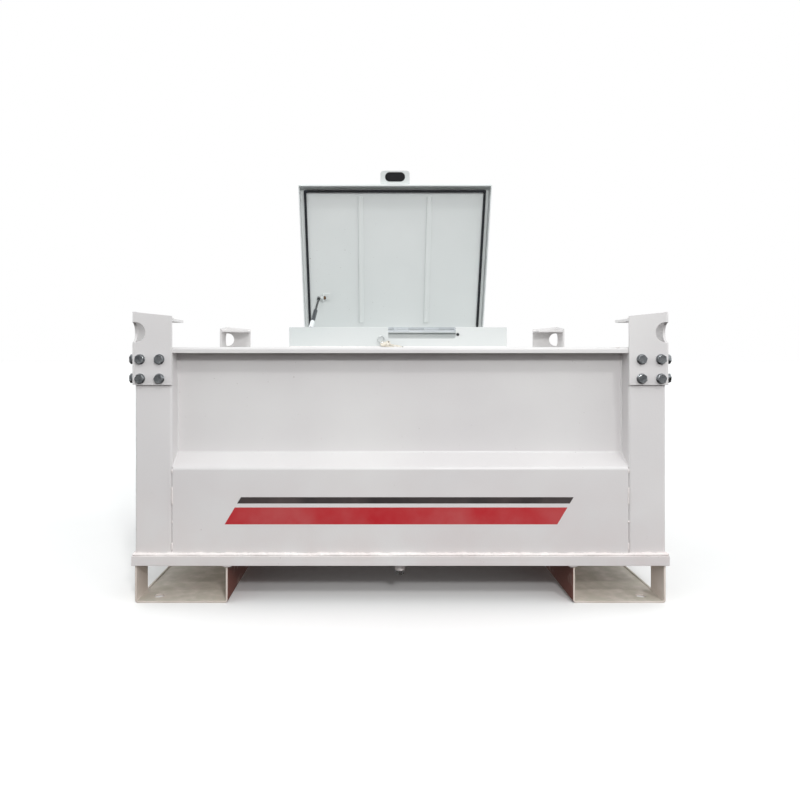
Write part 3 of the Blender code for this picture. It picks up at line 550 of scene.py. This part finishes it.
def add_feet():
    """Feet: channels folded from one sheet, with the outer leg cut away between its collars, and two holes."""
    for name, side in (("left", -1), ("right", 1)):
        low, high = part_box("foot_" + name)
        leg = high.z - FOOT_BEND
        runs = [leg, high.x - low.x - 2 * FOOT_BEND, leg]
        far = max(abs(low.x), abs(high.x))
        hole = leg + FOOT_BEND * pi / 2 + HOLE_FROM_SIDE - FOOT_BEND
        end = high.y
        hole_row = end - HOLE_FROM_END
        columns = sorted(fold_lines(runs, FOOT_BEND, 4) + [hole - HOLE_CELL, hole + HOLE_CELL])
        half = [end - COLLAR, hole_row - HOLE_CELL, hole_row + HOLE_CELL, end]
        rows = [-row for row in reversed(half)] + half

        def is_sheet(along, up, leg=leg, hole=hole, hole_row=hole_row, end=end):
            opening = along < leg and abs(up) < end - COLLAR
            in_hole = abs(along - hole) < HOLE_CELL and abs(abs(up) - hole_row) < HOLE_CELL
            return not opening and not in_hole

        def place(along, depth, up, side=side, runs=runs, far=far, top=high.z):
            down, inward = fold_point(runs, FOOT_BEND, along, depth)
            return (side * (far - inward), up, top - down)

        loops = grid_loops(columns, rows, is_sheet)
        loops += ring_loops(hole, hole_row, HOLE_CELL, HOLE_RADIUS)
        loops += ring_loops(hole, -hole_row, HOLE_CELL, HOLE_RADIUS)
        bm = make_sheet(loops, FOOT_SHEET, 0.001, place)
        new_piece("pressed_foot_" + name, bm, FOOT, "tank", ("foot_" + name,))


def add_top():
    """The top sheet, with the cabinet's hole, and a lip turned down on each side between the posts."""
    low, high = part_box("top_plate")
    bend = LIP_BEND * pi / 2
    flat_x, flat_y = high.x - LIP_BEND, high.y - LIP_BEND
    lip_x, lip_y = WALL_END, SIDE_WALL_END
    straight = high.z - low.z - LIP_BEND
    hole_x = CABINET_HIGH.x + 0.0003
    hole_y = (CABINET_LOW.y - 0.0003, CABINET_BACK + 0.0003)
    arcs = [bend * step / 6 for step in range(7)] + [bend + straight]
    half_x = [hole_x, lip_x, lip_x + LIP_RELIEF] + [flat_x + arc for arc in arcs] + [high.x]
    half_y = [lip_y, lip_y + LIP_RELIEF] + [flat_y + arc for arc in arcs] + [high.y]
    columns = sorted(half_x + [-line for line in half_x])
    rows = sorted(half_y + [-line for line in half_y] + list(hole_y))

    def is_sheet(across, along):
        over_x, over_y = abs(across) > flat_x, abs(along) > flat_y
        if abs(across) < hole_x and hole_y[0] < along < hole_y[1]:
            return False
        if over_x and abs(along) < lip_y or over_y and abs(across) < lip_x:
            return True
        if over_x and abs(along) < lip_y + LIP_RELIEF or over_y and abs(across) < lip_x + LIP_RELIEF:
            return False
        return abs(across) < high.x and abs(along) < high.y

    def turn_down(reach, flat, depth):
        """How far out and down a point lies when the sheet past flat is bent down."""
        past = abs(reach) - flat
        if past <= 0:
            return reach, depth
        side = 1 if reach > 0 else -1
        turn = min(past / LIP_BEND, pi / 2)
        out = flat + (LIP_BEND - depth) * sin(turn)
        return side * out, LIP_BEND - (LIP_BEND - depth) * cos(turn) + max(0.0, past - bend)

    def place(across, depth, along):
        drop = depth
        if abs(along) < lip_y + LIP_RELIEF / 2:
            across, drop = turn_down(across, flat_x, depth)
        if abs(across) < lip_x + LIP_RELIEF / 2:
            along, drop = turn_down(along, flat_y, depth)
        return (across, along, high.z - drop)

    bm = make_sheet(grid_loops(columns, rows, is_sheet), TOP_SHEET, 0.0006, place)
    new_piece("folded_top_sheet", bm, WHITE, "tank", ("top_plate",))


def add_bead(whole, start, end, radius, wobble=0.18, spacing=0.006, flat=1.0):
    """Adds a weld bead from start to end: a rod whose thickness and line waver as the welder's hand did."""
    start, end = Vector(start), Vector(end)
    length = (end - start).length
    bm = bmesh.new()
    cuts = max(3, ceil(length / spacing))
    bmesh.ops.create_cone(
        bm, cap_ends=True, cap_tris=False, segments=8, radius1=radius, radius2=radius, depth=length
    )
    runs = [edge for edge in bm.edges if abs(edge.verts[0].co.z - edge.verts[1].co.z) > length / 2]
    bmesh.ops.subdivide_edges(bm, edges=runs, cuts=cuts, use_grid_fill=False)
    for vert in bm.verts:
        spot = Vector((start.x + start.z * 3, start.y, vert.co.z))
        swell = 1 + wobble * (1.6 * noise.noise(spot * 38) + 0.9 * noise.noise(spot * 150))
        taper = min(1.0, 0.45 + (length / 2 - abs(vert.co.z)) / (2 * radius))
        drift = wobble * radius * 0.9 * noise.noise(spot * 14 + Vector((5, 5, 5)))
        vert.co.x = vert.co.x * swell * taper * flat + drift
        vert.co.y = vert.co.y * swell * taper + drift
    bmesh.ops.recalc_face_normals(bm, faces=bm.faces)
    put(whole, bm, facing((start + end) / 2, end - start))


def make_bolt(turn):
    """A hexagon head on its washer, standing on Z = 0."""
    bm = bmesh.new()
    top = WASHER_THICK
    rim = WASHER_RADIUS
    washer = [(0, 0), (rim, 0), (rim, top - 0.0006), (rim - 0.0006, top), (0, top)]
    put(bm, make_turned(washer, 24))
    head = bmesh.new()
    across = HEAD_ACROSS / 2 / cos(pi / 6)
    made = bmesh.ops.create_cone(
        head, cap_ends=True, cap_tris=False, segments=6, radius1=across, radius2=across, depth=HEAD_HEIGHT
    )
    bmesh.ops.translate(head, vec=(0, 0, top + HEAD_HEIGHT / 2), verts=made["verts"])
    high = top + HEAD_HEIGHT - 1e-5
    crown = [edge for edge in head.edges if min(vert.co.z for vert in edge.verts) > high]
    round_edges(head, crown, 0.0014, 2)
    cap = max(head.faces, key=lambda face: face.calc_center_median().z)
    bmesh.ops.inset_region(head, faces=[cap], thickness=0.0022, depth=-0.0004)
    put(bm, head, Matrix.Rotation(turn, 4, "Z"))
    return bm


def set_camera_and_light():
    """The photograph's own viewpoint, two lamps before the tank, and a soft room round it."""
    camera = bpy.data.objects.new("camera", bpy.data.cameras.new("camera"))
    bpy.context.scene.collection.objects.link(camera)
    camera.location = (-0.0653, -2.449, 0.7105)
    camera.rotation_euler = (radians(90), 0, 0)
    camera.data.lens = 29.85
    camera.data.sensor_width = 36
    camera.data.shift_x = 0.0284
    camera.data.shift_y = -0.0606
    camera.data.clip_end = 200
    bpy.context.scene.camera = camera
    bpy.context.scene.view_settings.view_transform = "Standard"
    # A low lamp close by throws the short dark shadow under the rim and reaches into the recess. A high one
    # far off to the right throws the long faint shadow.
    near = bpy.data.objects.new("low_lamp", bpy.data.lights.new("low_lamp", "POINT"))
    near.location = (0.6, -3.6, 1.94)
    near.data.shadow_soft_size = 0.15
    near.data.energy = LOW_LAMP
    far = bpy.data.objects.new("high_lamp", bpy.data.lights.new("high_lamp", "SUN"))
    toward = Vector((sin(radians(20)), -cos(radians(20)), 1.0))
    far.rotation_euler = toward.to_track_quat("Z", "Y").to_euler()
    far.data.angle = radians(6)
    far.data.energy = HIGH_LAMP
    for lamp in (near, far):
        bpy.context.scene.collection.objects.link(lamp)
    world = bpy.data.worlds.new("soft_room")
    bpy.context.scene.world = world
    world.use_nodes = True
    tree = world.node_tree
    tree.nodes.clear()
    way = add_node(tree, "ShaderNodeTexCoord", out="Generated")
    upward = add_node(tree, "ShaderNodeSeparateXYZ", {0: way}, out="Z")
    sideways = add_node(tree, "ShaderNodeSeparateXYZ", {0: way}, out="X")
    # The room is even above the horizon, brighter to the sides, and the reddish floor gives a little back.
    ceiling = add_node(tree, "ShaderNodeMath", {0: upward, 1: 0.0}, operation="MAXIMUM")
    ceiling = add_node(tree, "ShaderNodeMath", {0: ceiling, 1: 2.0}, operation="POWER")
    sideways = add_node(tree, "ShaderNodeMath", {0: sideways}, operation="ABSOLUTE")
    sideways = add_node(tree, "ShaderNodeMath", {0: sideways, 1: 4.0}, operation="POWER")
    glow = add_node(tree, "ShaderNodeMath", {0: ceiling, 1: CEILING, 2: WALLS}, operation="MULTIPLY_ADD")
    glow = add_node(tree, "ShaderNodeMath", {0: sideways, 1: SIDES, 2: glow}, operation="MULTIPLY_ADD")
    below = {"Value": upward, "From Min": 0.06, "From Max": -0.06, "To Min": 1.0, "To Max": 0.0}
    glow = {0: glow, 1: add_node(tree, "ShaderNodeMapRange", below)}
    glow = add_node(tree, "ShaderNodeMath", glow, operation="MULTIPLY")
    floor = {"Value": upward, "From Min": 0.06, "From Max": -0.06, "To Max": GROUND}
    glow = add_node(tree, "ShaderNodeMath", {0: glow, 1: add_node(tree, "ShaderNodeMapRange", floor)})
    tint = {"Value": upward, "From Min": -0.12, "From Max": 0.12}
    tint = {0: add_node(tree, "ShaderNodeMapRange", tint), 6: (1.0, 0.88, 0.86, 1.0), 7: (0.96, 0.99, 1.0, 1.0)}
    tint = add_node(tree, "ShaderNodeMix", tint, out=2, data_type="RGBA")
    room = add_node(tree, "ShaderNodeBackground", {"Color": tint, "Strength": glow})
    seen = add_node(tree, "ShaderNodeBackground", {"Color": (1.0, 1.0, 1.0, 1.0), "Strength": 1.0})
    is_seen = add_node(tree, "ShaderNodeLightPath", out="Is Camera Ray")
    both = add_node(tree, "ShaderNodeMixShader", {0: is_seen, 1: room, 2: seen})
    add_node(tree, "ShaderNodeOutputWorld", {"Surface": both}, out=None)


def make_floor():
    """A plain pale studio floor."""
    bm = bmesh.new()
    bmesh.ops.create_grid(bm, x_segments=1, y_segments=1, size=40)
    mesh = bpy.data.meshes.new("studio_floor")
    bm.to_mesh(mesh)
    bm.free()
    floor = bpy.data.objects.new("studio_floor", mesh)
    bpy.context.scene.collection.objects.link(floor)
    material, tree, shader, place = start_material("pale_studio_floor", 0.7, colour="#F7F5F3")
    tone = add_grain(tree, place, 1.5, 3.0)
    lay_colour(tree, shader, linear("#FBFAF9"), [(tone, "#F5F4F3")])
    mesh.materials.append(material)
    floor.visible_diffuse = False
    floor.visible_glossy = False


def dress_body():
    """The sheet-metal body: each sheet keeps its CAD shape, with bent folds and eased edges."""
    for side in ("front", "back", "left", "right"):
        soften("base_rail_" + side, WHITE, edge=0.0012)
        material = FRONT_WHITE if side == "front" else WHITE
        soften("wall_" + side, material, 0.004, 0.004)
        soften("cabinet_" + side, CABINET_ENAMEL_DARKENED_AS_SHADE, edge=0.0012)
    add_posts()
    add_brackets()
    add_feet()
    add_top()
    soften("base_plate", WHITE)
    soften("cabinet_ledge", CABINET_ENAMEL_DARKENED_AS_SHADE)
    for side in ("left", "right"):
        soften("lid_rib_" + side, LID_ENAMEL_LIGHTENED_AS_LIGHT, edge=0.0025, body="lid")
    soften("lid_panel", LID_ENAMEL_LIGHTENED_AS_LIGHT, 0.003, 0.002, body="lid")
    soften("lid_handle", LID_ENAMEL_LIGHTENED_AS_LIGHT, edge=0.0008, body="lid")
    soften("lid_grip", BLACK_PLASTIC, edge=0.0018, body="lid")
    soften("lid_seal", SPONGE, edge=0.0036, body="lid")


def add_bolts():
    """Four bolts on each leaf of each lifting corner, every head turned as the spanner left it."""
    for name, side_x, side_y in CORNERS:
        bm = bmesh.new()
        for inset in BOLT_FROM_SIDE:
            for height in BOLT_HEIGHTS:
                turn = chance.uniform(0, pi / 3)
                place = (side_x * (HALF_X - inset), side_y * (HALF_Y + BRACKET_FACE), height)
                put(bm, make_bolt(turn), facing(place, (0, side_y, 0)))
                turn = chance.uniform(0, pi / 3)
                place = (side_x * (HALF_X + BRACKET_FACE), side_y * (HALF_Y - inset), height)
                put(bm, make_bolt(turn), facing(place, (side_x, 0, 0)))
        new_piece("bracket_bolts_" + name, bm, BOLT_ZINC, "tank")


def add_welds():
    """Painted-over welds: a continuous bead above the base rail, stitches up the seams, and beads at the feet."""
    bead = 0.0055
    at_x = HALF_X + 0.0014
    at_y = HALF_Y + 0.0014
    height = RAIL_TOP + 0.0030
    bm = bmesh.new()
    for side in (-1, 1):
        add_bead(bm, (-at_x - bead, side * at_y, height), (at_x + bead, side * at_y, height), bead, 0.30, 0.004)
        add_bead(bm, (side * at_x, -at_y - bead, height), (side * at_x, at_y + bead, height), bead, 0.30, 0.004)
    new_piece("rail_weld", bm, WELD_ENAMEL_LIGHTENED_AS_HIGHLIGHT, "tank", smooth_under=180)

    bm = bmesh.new()
    low, high, rim = SLOPE[0], SLOPE[1], RIM_TOP - 0.018
    for side_x in (-1, 1):
        for side_y in (-1, 1):
            x, y = side_x * WALL_END, side_y * (HALF_Y - RECESS)
            add_bead(bm, (x, y, high), (x, y, rim), 0.0030, 0.10, 0.012)
            add_bead(bm, (x, side_y * (HALF_Y - 0.002), low), (x, y, high), 0.0030, 0.10, 0.012)
            x, y = side_x * (HALF_X - RECESS), side_y * SIDE_WALL_END
            add_bead(bm, (x, y, high), (x, y, rim), 0.0030, 0.10, 0.012)
            add_bead(bm, (side_x * (HALF_X - 0.002), y, low), (x, y, high), 0.0030, 0.10, 0.012)
    new_piece("recess_fillets", bm, WHITE, "tank", smooth_under=180)

    bm = bmesh.new()
    stitches = ((0.160, 0.020), (0.229, 0.008), (0.302, 0.050), (0.372, 0.012))
    for side in (-1, 1):
        for turn in (-1, 1):
            for middle, length in stitches:
                low, high = middle - length / 2, middle + length / 2
                x = turn * (WALL_END + 0.0002)
                add_bead(bm, (x, side * HALF_Y, low), (x, side * HALF_Y, high), 0.0026, 0.25, 0.003, 0.8)
                y = turn * (SIDE_WALL_END + 0.0002)
                add_bead(bm, (side * HALF_X, y, low), (side * HALF_X, y, high), 0.0026, 0.25, 0.003, 0.8)
    new_piece("seam_stitches", bm, WELD_ENAMEL_LIGHTENED_AS_HIGHLIGHT, "tank", smooth_under=180)

    bm = bmesh.new()
    inner = abs(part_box("foot_right")[0].x)
    for side in (-1, 1):
        for end in (-1, 1):
            x = side * inner
            y = end * (HALF_Y + 0.001)
            add_bead(bm, (x - 0.014, y, BASE_LOW - 0.001), (x + 0.012, y, BASE_LOW - 0.001), 0.0048, 0.35, 0.003)
            add_bead(bm, (x, y - end * 0.002, BASE_LOW - 0.002), (x, y - end * 0.080, BASE_LOW - 0.002), 0.0042, 0.3)
        add_bead(bm, (side * inner, -0.20, BASE_LOW - 0.002), (side * inner, -0.05, BASE_LOW - 0.002), 0.004, 0.3)
        add_bead(bm, (side * inner, 0.10, BASE_LOW - 0.002), (side * inner, 0.25, BASE_LOW - 0.002), 0.004, 0.3)
    new_piece("foot_welds", bm, WELD_ENAMEL_LIGHTENED_AS_HIGHLIGHT, "tank", smooth_under=180)

    bm = bmesh.new()
    half = CABINET_HIGH.x
    front = CABINET_LOW.y
    z = RIM_TOP + 0.0008
    for y in (front, CABINET_BACK):
        add_bead(bm, (-half, y, z), (half, y, z), 0.0030)
    for x in (-half, half):
        add_bead(bm, (x, front, z), (x, CABINET_BACK, z), 0.0030)
    new_piece("cabinet_foot_weld", bm, WELD_ENAMEL_LIGHTENED_AS_HIGHLIGHT, "tank", smooth_under=180)


def along_strut(height):
    """The matrix at a height up the strut, from its foot to its head."""
    way = (STRUT_HEAD - STRUT_FOOT).normalized()
    return facing(STRUT_FOOT + way * height, way)


def add_hinge_and_strut():
    """The long hinge with its rivets, and the gas strut between two ball studs."""
    soften("hinge_leaf_cabinet", HINGE_ENAMEL_DARKENED_AS_SHADE, edge=0.0004)
    soften("hinge_leaf_lid", HINGE_ENAMEL_DARKENED_AS_SHADE, edge=0.0004, body="lid")
    bm = bmesh.new()
    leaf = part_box("hinge_leaf_cabinet")
    rivet = [(0, 0), (0.004, 0), (0.0038, 0.0009), (0.0026, 0.0019), (0, 0.0023)]
    for step in range(7):
        x = leaf[0].x + 0.030 + step * (leaf[1].x - leaf[0].x - 0.060) / 6
        put(bm, make_turned(rivet, 16), facing((x, CABINET_BACK + 0.0028, leaf[0].z + 0.010), (0, 1, 0)))
    new_piece("hinge_rivets", bm, BRIGHT_ZINC, "tank")

    shoulder = STRUT_LENGTH - ROD_SHOWING
    tube = [(0, 0.019), (0.0045, 0.019), (0.0068, 0.0205), (0.0075, 0.0235), (0.0075, shoulder - 0.0040)]
    # The bore takes the rod when the lid is shut.
    bore = shoulder - STRUT_BORE
    tube += [(0.0071, shoulder - 0.0016), (0.0058, shoulder), (0.0044, shoulder), (0.0044, bore)]
    bm = bmesh.new()
    put(bm, make_turned(tube + [(0, bore)], 28))
    put(bm, make_turned([(0, 0.004), (0.0046, 0.004), (0.0046, 0.020), (0, 0.020)], 20))
    socket = [(0, -0.0062), (0.0048, -0.0062), (0.0070, -0.0040), (0.0070, 0.0040), (0.0048, 0.0062), (0, 0.0062)]
    put(bm, make_turned(socket, 24), Matrix.Rotation(pi / 2, 4, "Y"))
    bmesh.ops.transform(bm, matrix=along_strut(0), verts=bm.verts)
    new_piece("strut_cylinder", bm, STRUT_ENAMEL, "strut_tube", ("strut_tube",))

    band = [(0.0074, 0.080), (0.0078, 0.080), (0.0078, 0.143), (0.0074, 0.143), (0.0074, 0.080)]
    bm = make_turned(band, 28)
    bmesh.ops.transform(bm, matrix=along_strut(0), verts=bm.verts)
    new_piece("strut_band", bm, LABEL_VINYL, "strut_tube")

    low, cup, top = shoulder - 0.012, STRUT_LENGTH - 0.0215, STRUT_LENGTH - 0.0035
    rod = [(0, low), (0.0038, low), (0.0038, cup), (0.0052, cup), (0.0060, cup + 0.003)]
    rod += [(0.0062, top - 0.004), (0.0054, top), (0, top)]
    bm = make_turned(rod, 24)
    bmesh.ops.transform(bm, matrix=along_strut(0), verts=bm.verts)
    new_piece("strut_piston_rod", bm, ROD_NITRIDE, "strut_rod", ("strut_rod",))

    soften("strut_mount_cabinet", CABINET_ENAMEL_DARKENED_AS_SHADE, edge=0.0005, name="strut_foot_plate")
    soften("strut_mount_lid", LID_ENAMEL_LIGHTENED_AS_LIGHT, edge=0.0005, body="lid", name="strut_ear")
    arc_points = [(0.0074 * sin(radians(turn)), -0.0074 * cos(radians(turn))) for turn in range(0, 160, 15)]
    ball = arc_points + [(0.0030, 0.0072), (0.0030, 0.0078), (0, 0.0078)]
    bm = bmesh.new()
    put(bm, make_turned(ball, 28), LID_TURN @ facing(STRUT_EYE, (1, 0, 0)))
    new_piece("lid_ball_stud", bm, BRIGHT_ZINC, "lid")
    bm = bmesh.new()
    put(bm, make_turned([(0, 0.0070), (0.0030, 0.0070), (0.0030, EAR_FACE + 0.001), (0, EAR_FACE + 0.001)], 16))
    bmesh.ops.transform(bm, matrix=LID_TURN @ facing(STRUT_EYE, (1, 0, 0)), verts=bm.verts)
    far_side = Vector((STRUT_EYE.x + EAR_FACE + 0.003, STRUT_EYE.y, STRUT_EYE.z))
    put(bm, make_nut(0.0075, 0.0070, 0.0020), LID_TURN @ facing(far_side, (1, 0, 0), 0.4))
    new_piece("lid_stud_nut", bm, BROWN_NUT, "lid")


def make_nut(across, thick, stud):
    """A hexagon nut on Z = 0, with the end of its stud standing out of it."""
    bm = bmesh.new()
    nut = bmesh.new()
    bmesh.ops.create_cone(
        nut, cap_ends=True, cap_tris=False, segments=6, radius1=across, radius2=across, depth=thick
    )
    bmesh.ops.translate(nut, vec=(0, 0, thick / 2), verts=nut.verts)
    round_edges(nut, nut.edges[:], 0.0007, 2)
    put(bm, nut)
    radius = across * 0.52
    top = thick + stud
    put(bm, make_turned([(0, 0), (radius, 0), (radius, top - 0.0006), (radius - 0.0006, top), (0, top)], 16))
    return bm


def add_drain():
    """A welded socket under the front with a hexagon plug in it."""
    low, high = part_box("drain_plug")
    middle = (low + high) / 2
    bm = bmesh.new()
    radius = (high.x - low.x) / 2
    step = high.z - 0.024
    socket = [(0, high.z), (radius, high.z), (radius, step + 0.001), (radius - 0.001, step), (0, step)]
    put(bm, make_turned(socket, 32), Matrix.Translation((middle.x, middle.y, 0)))
    new_piece("drain_socket", bm, WELD_ENAMEL_LIGHTENED_AS_HIGHLIGHT, "tank")
    bm = bmesh.new()
    plug = make_nut(0.0128, 0.0115, 0.0)
    put(bm, plug, facing((middle.x, middle.y, step - 0.001), (0, 0, -1), 0.3))
    collar = [(0, step + 0.001), (0.0122, step + 0.001), (0.0122, step - 0.003), (0, step - 0.003)]
    put(bm, make_turned(collar, 24), Matrix.Translation((middle.x, middle.y, 0)))
    new_piece("drain_hexagon_plug", bm, BRIGHT_ZINC, "tank", ("drain_plug",))


def add_keys():
    """Two keys on a split ring, leaning on the cabinet's front where the user left them."""
    front = CABINET_LOW.y - 0.0012
    bm = bmesh.new()
    thick = 0.0024
    bow = [(0, 0), (0.0080, 0), (0.0087, 0.0007), (0.0087, thick - 0.0007), (0.0080, thick), (0, thick)]
    for x, z, back in ((-0.0475, 0.7345, 0.0026), (-0.0325, 0.7355, 0.0)):
        put(bm, make_turned(bow, 28), facing((x, front - back, z), (0, -1, 0)))
    put(bm, make_block((-0.0440, front - thick, 0.7258), (-0.0270, front, 0.7330), 0.0007))
    for start, end, back in (((-0.028, 0.7330), (0.0150, 0.7250), 0.0), ((-0.042, 0.7290), (-0.012, 0.7248), 0.0026)):
        length = Vector((end[0] - start[0], end[1] - start[1])).length
        blade = bmesh.new()
        bmesh.ops.create_cube(blade, size=1.0)
        bmesh.ops.scale(blade, vec=(length, thick, 0.0046), verts=blade.verts)
        runs = [edge for edge in blade.edges if abs(edge.verts[0].co.x - edge.verts[1].co.x) > length / 2]
        bmesh.ops.subdivide_edges(blade, edges=runs, cuts=11, use_grid_fill=False)
        for vert in blade.verts:
            if vert.co.z > 0:
                vert.co.z -= 0.0030 * abs(noise.noise(Vector((vert.co.x * 180, back * 900, 2.0))))
            vert.co.z *= min(1.0, 0.35 + (length / 2 - vert.co.x) / 0.004)
        round_edges(blade, sharp_edges(blade), 0.0003, 1)
        tilt = Matrix.Rotation(-(end[1] - start[1]) / length, 4, "Y")
        middle = ((start[0] + end[0]) / 2, front - back - thick / 2, (start[1] + end[1]) / 2)
        put(bm, blade, Matrix.Translation(middle) @ tilt)
    new_piece("keys", bm, KEY_METAL, "tank")

    # Dark discs on the bows stand for the shade inside the key holes: painted shade. A dark block marks the blade's
    # tip.
    bm = bmesh.new()
    hole_shade_disc = [(0, 0), (0.0019, 0), (0.0019, 0.0004), (0, 0.0004)]
    put(bm, make_turned(hole_shade_disc, 16), facing((-0.0515, front - 0.0050, 0.7384), (0, -1, 0)))
    put(bm, make_turned(hole_shade_disc, 16), facing((-0.0296, front - 0.0024, 0.7406), (0, -1, 0)))
    put(bm, make_block((0.0130, front - 0.0027, 0.7242), (0.0160, front - 0.0001, 0.7262), 0.0004))
    new_piece("key_hole_shade_discs_and_tip", bm, KEY_HOLE_SHADE_METAL, "tank")

    wire = 0.0011
    ring = make_turned([(0.0102 + wire * cos(turn * pi / 4), wire * sin(turn * pi / 4)) for turn in range(9)], 40)
    bm = bmesh.new()
    lean = Matrix.Rotation(radians(14), 4, "Z") @ facing((0, 0, 0), (0, -1, 0))
    put(bm, ring.copy(), Matrix.Translation((-0.0530, front - 0.0054, 0.7490)) @ lean)
    put(bm, ring, Matrix.Translation((-0.0526, front - 0.0076, 0.7486)) @ lean)
    new_piece("key_ring", bm, BRIGHT_ZINC, "tank")


def add_small_things():
    """The buffer at the outlet, spatter on the rim, and the fillets inside the lifting corners."""
    bm = make_turned([(0, 0), (0.0048, 0), (0.0048, 0.002), (0.0038, 0.0038), (0, 0.0045)], 20)
    bmesh.ops.transform(bm, matrix=facing((0.1870, CABINET_LOW.y, 0.7640), (0, -1, 0)), verts=bm.verts)
    new_piece("outlet_buffer", bm, BLACK_PLASTIC, "tank")
    bm = bmesh.new()
    add_bead(bm, (0.608, -HALF_Y + 0.003, RIM_TOP), (0.621, -HALF_Y + 0.003, RIM_TOP), 0.0030, 0.4, 0.003)
    for name, side_x, side_y in CORNERS:
        end = 0.108
        top = 0.8045
        x, y = side_x * (HALF_X - 0.0005), side_y * (HALF_Y - 0.0005)
        add_bead(bm, (x, y, top), (x - side_x * end, y, top), 0.0030)
        add_bead(bm, (x, y, top), (x, y - side_y * end, top), 0.0030)
    new_piece("corner_fillets_and_spatter", bm, WELD_ENAMEL_LIGHTENED_AS_HIGHLIGHT, "tank", smooth_under=180)


def add_cabinet_fittings():
    """The filler with its finger-grip cap, and the mushroom breather, both bolted to the inner tank."""
    low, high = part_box("filler_neck")
    middle = (low + high) / 2
    radius = (high.x - low.x) / 2
    stand = Matrix.Translation((middle.x, middle.y, low.z))
    neck = [(0.034, 0.0002), (0.056, 0.0002), (0.056, 0.0055), (0.0555, 0.006), (radius + 0.002, 0.006)]
    neck += [(radius, 0.008), (radius, high.z - low.z - 0.001), (radius - 0.001, high.z - low.z)]
    neck += [(0.034, high.z - low.z), (0.034, 0.0002)]
    bm = bmesh.new()
    put(bm, make_turned(neck, 48), stand)
    new_piece("filler_flange", bm, INNER_GREY, "tank", ("filler_neck",))
    bm = bmesh.new()
    for step in range(6):
        turn = step * pi / 3 + 0.2
        place = stand @ Vector((0.0475 * cos(turn), 0.0475 * sin(turn), 0.006))
        put(bm, make_nut(0.0058, 0.0040, 0.0), facing(place, (0, 0, 1), turn * 3))
    new_piece("filler_bolts", bm, BRIGHT_ZINC, "tank")

    low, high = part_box("filler_cap")
    middle = (low + high) / 2
    rim = (high.x - low.x) / 2
    tall = high.z - low.z
    cap = [(0, 0), (rim - 0.002, 0), (rim, 0.002), (rim, tall - 0.004), (rim - 0.003, tall - 0.0005)]
    cap += [(rim - 0.010, tall), (0.024, tall), (0.022, tall - 0.003), (0, tall - 0.003)]
    bm = make_turned(cap, 60)
    for vert in bm.verts:
        reach = Vector((vert.co.x, vert.co.y)).length
        turn = round(Vector((vert.co.x, vert.co.y)).angle_signed(Vector((1, 0)), 0) / (2 * pi) * 60) if reach else 0
        if reach > rim - 0.004 and turn % 5 == 0:
            vert.co.x *= 1 - 0.0022 / reach
            vert.co.y *= 1 - 0.0022 / reach
    bmesh.ops.translate(bm, vec=(middle.x, middle.y, low.z), verts=bm.verts)
    put(bm, make_block((middle.x - 0.022, middle.y - 0.004, low.z + tall - 0.004), (middle.x + 0.022, middle.y + 0.004, low.z + tall + 0.004), 0.0015))
    new_piece("filler_grip_cap", bm, BLACK_PLASTIC, "tank", ("filler_cap",))

    low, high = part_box("breather")
    middle = (low + high) / 2
    wide = (high.x - low.x) / 2
    tall = high.z - low.z
    bm = bmesh.new()
    put(bm, make_nut(wide, 0.012, 0.0))
    stem = [(0, 0.010), (0.0127, 0.010), (0.0127, tall - 0.019), (0, tall - 0.019)]
    put(bm, make_turned(stem, 24))
    cowl = [(0, tall - 0.020), (wide - 0.002, tall - 0.020), (wide, tall - 0.018), (wide, tall - 0.007)]
    cowl += [(wide * 0.8, tall - 0.002), (wide * 0.4, tall), (0, tall)]
    put(bm, make_turned(cowl, 36))
    bmesh.ops.translate(bm, vec=(middle.x, middle.y, low.z), verts=bm.verts)
    new_piece("mushroom_breather", bm, BLACK_PLASTIC, "tank", ("breather",))


def finish_plain_nodes():
    """The inner tank keeps its CAD shape and gets its real paint."""
    for name in ("inner_tank_shell", "inner_tank_top", "bearer_front", "bearer_back"):
        for slot in nodes[name].material_slots:
            slot.material = INNER_GREY


set_camera_and_light()
make_floor()
dress_body()
add_bolts()
add_welds()
add_hinge_and_strut()
add_drain()
add_keys()
add_small_things()
add_cabinet_fittings()
finish_plain_nodes()
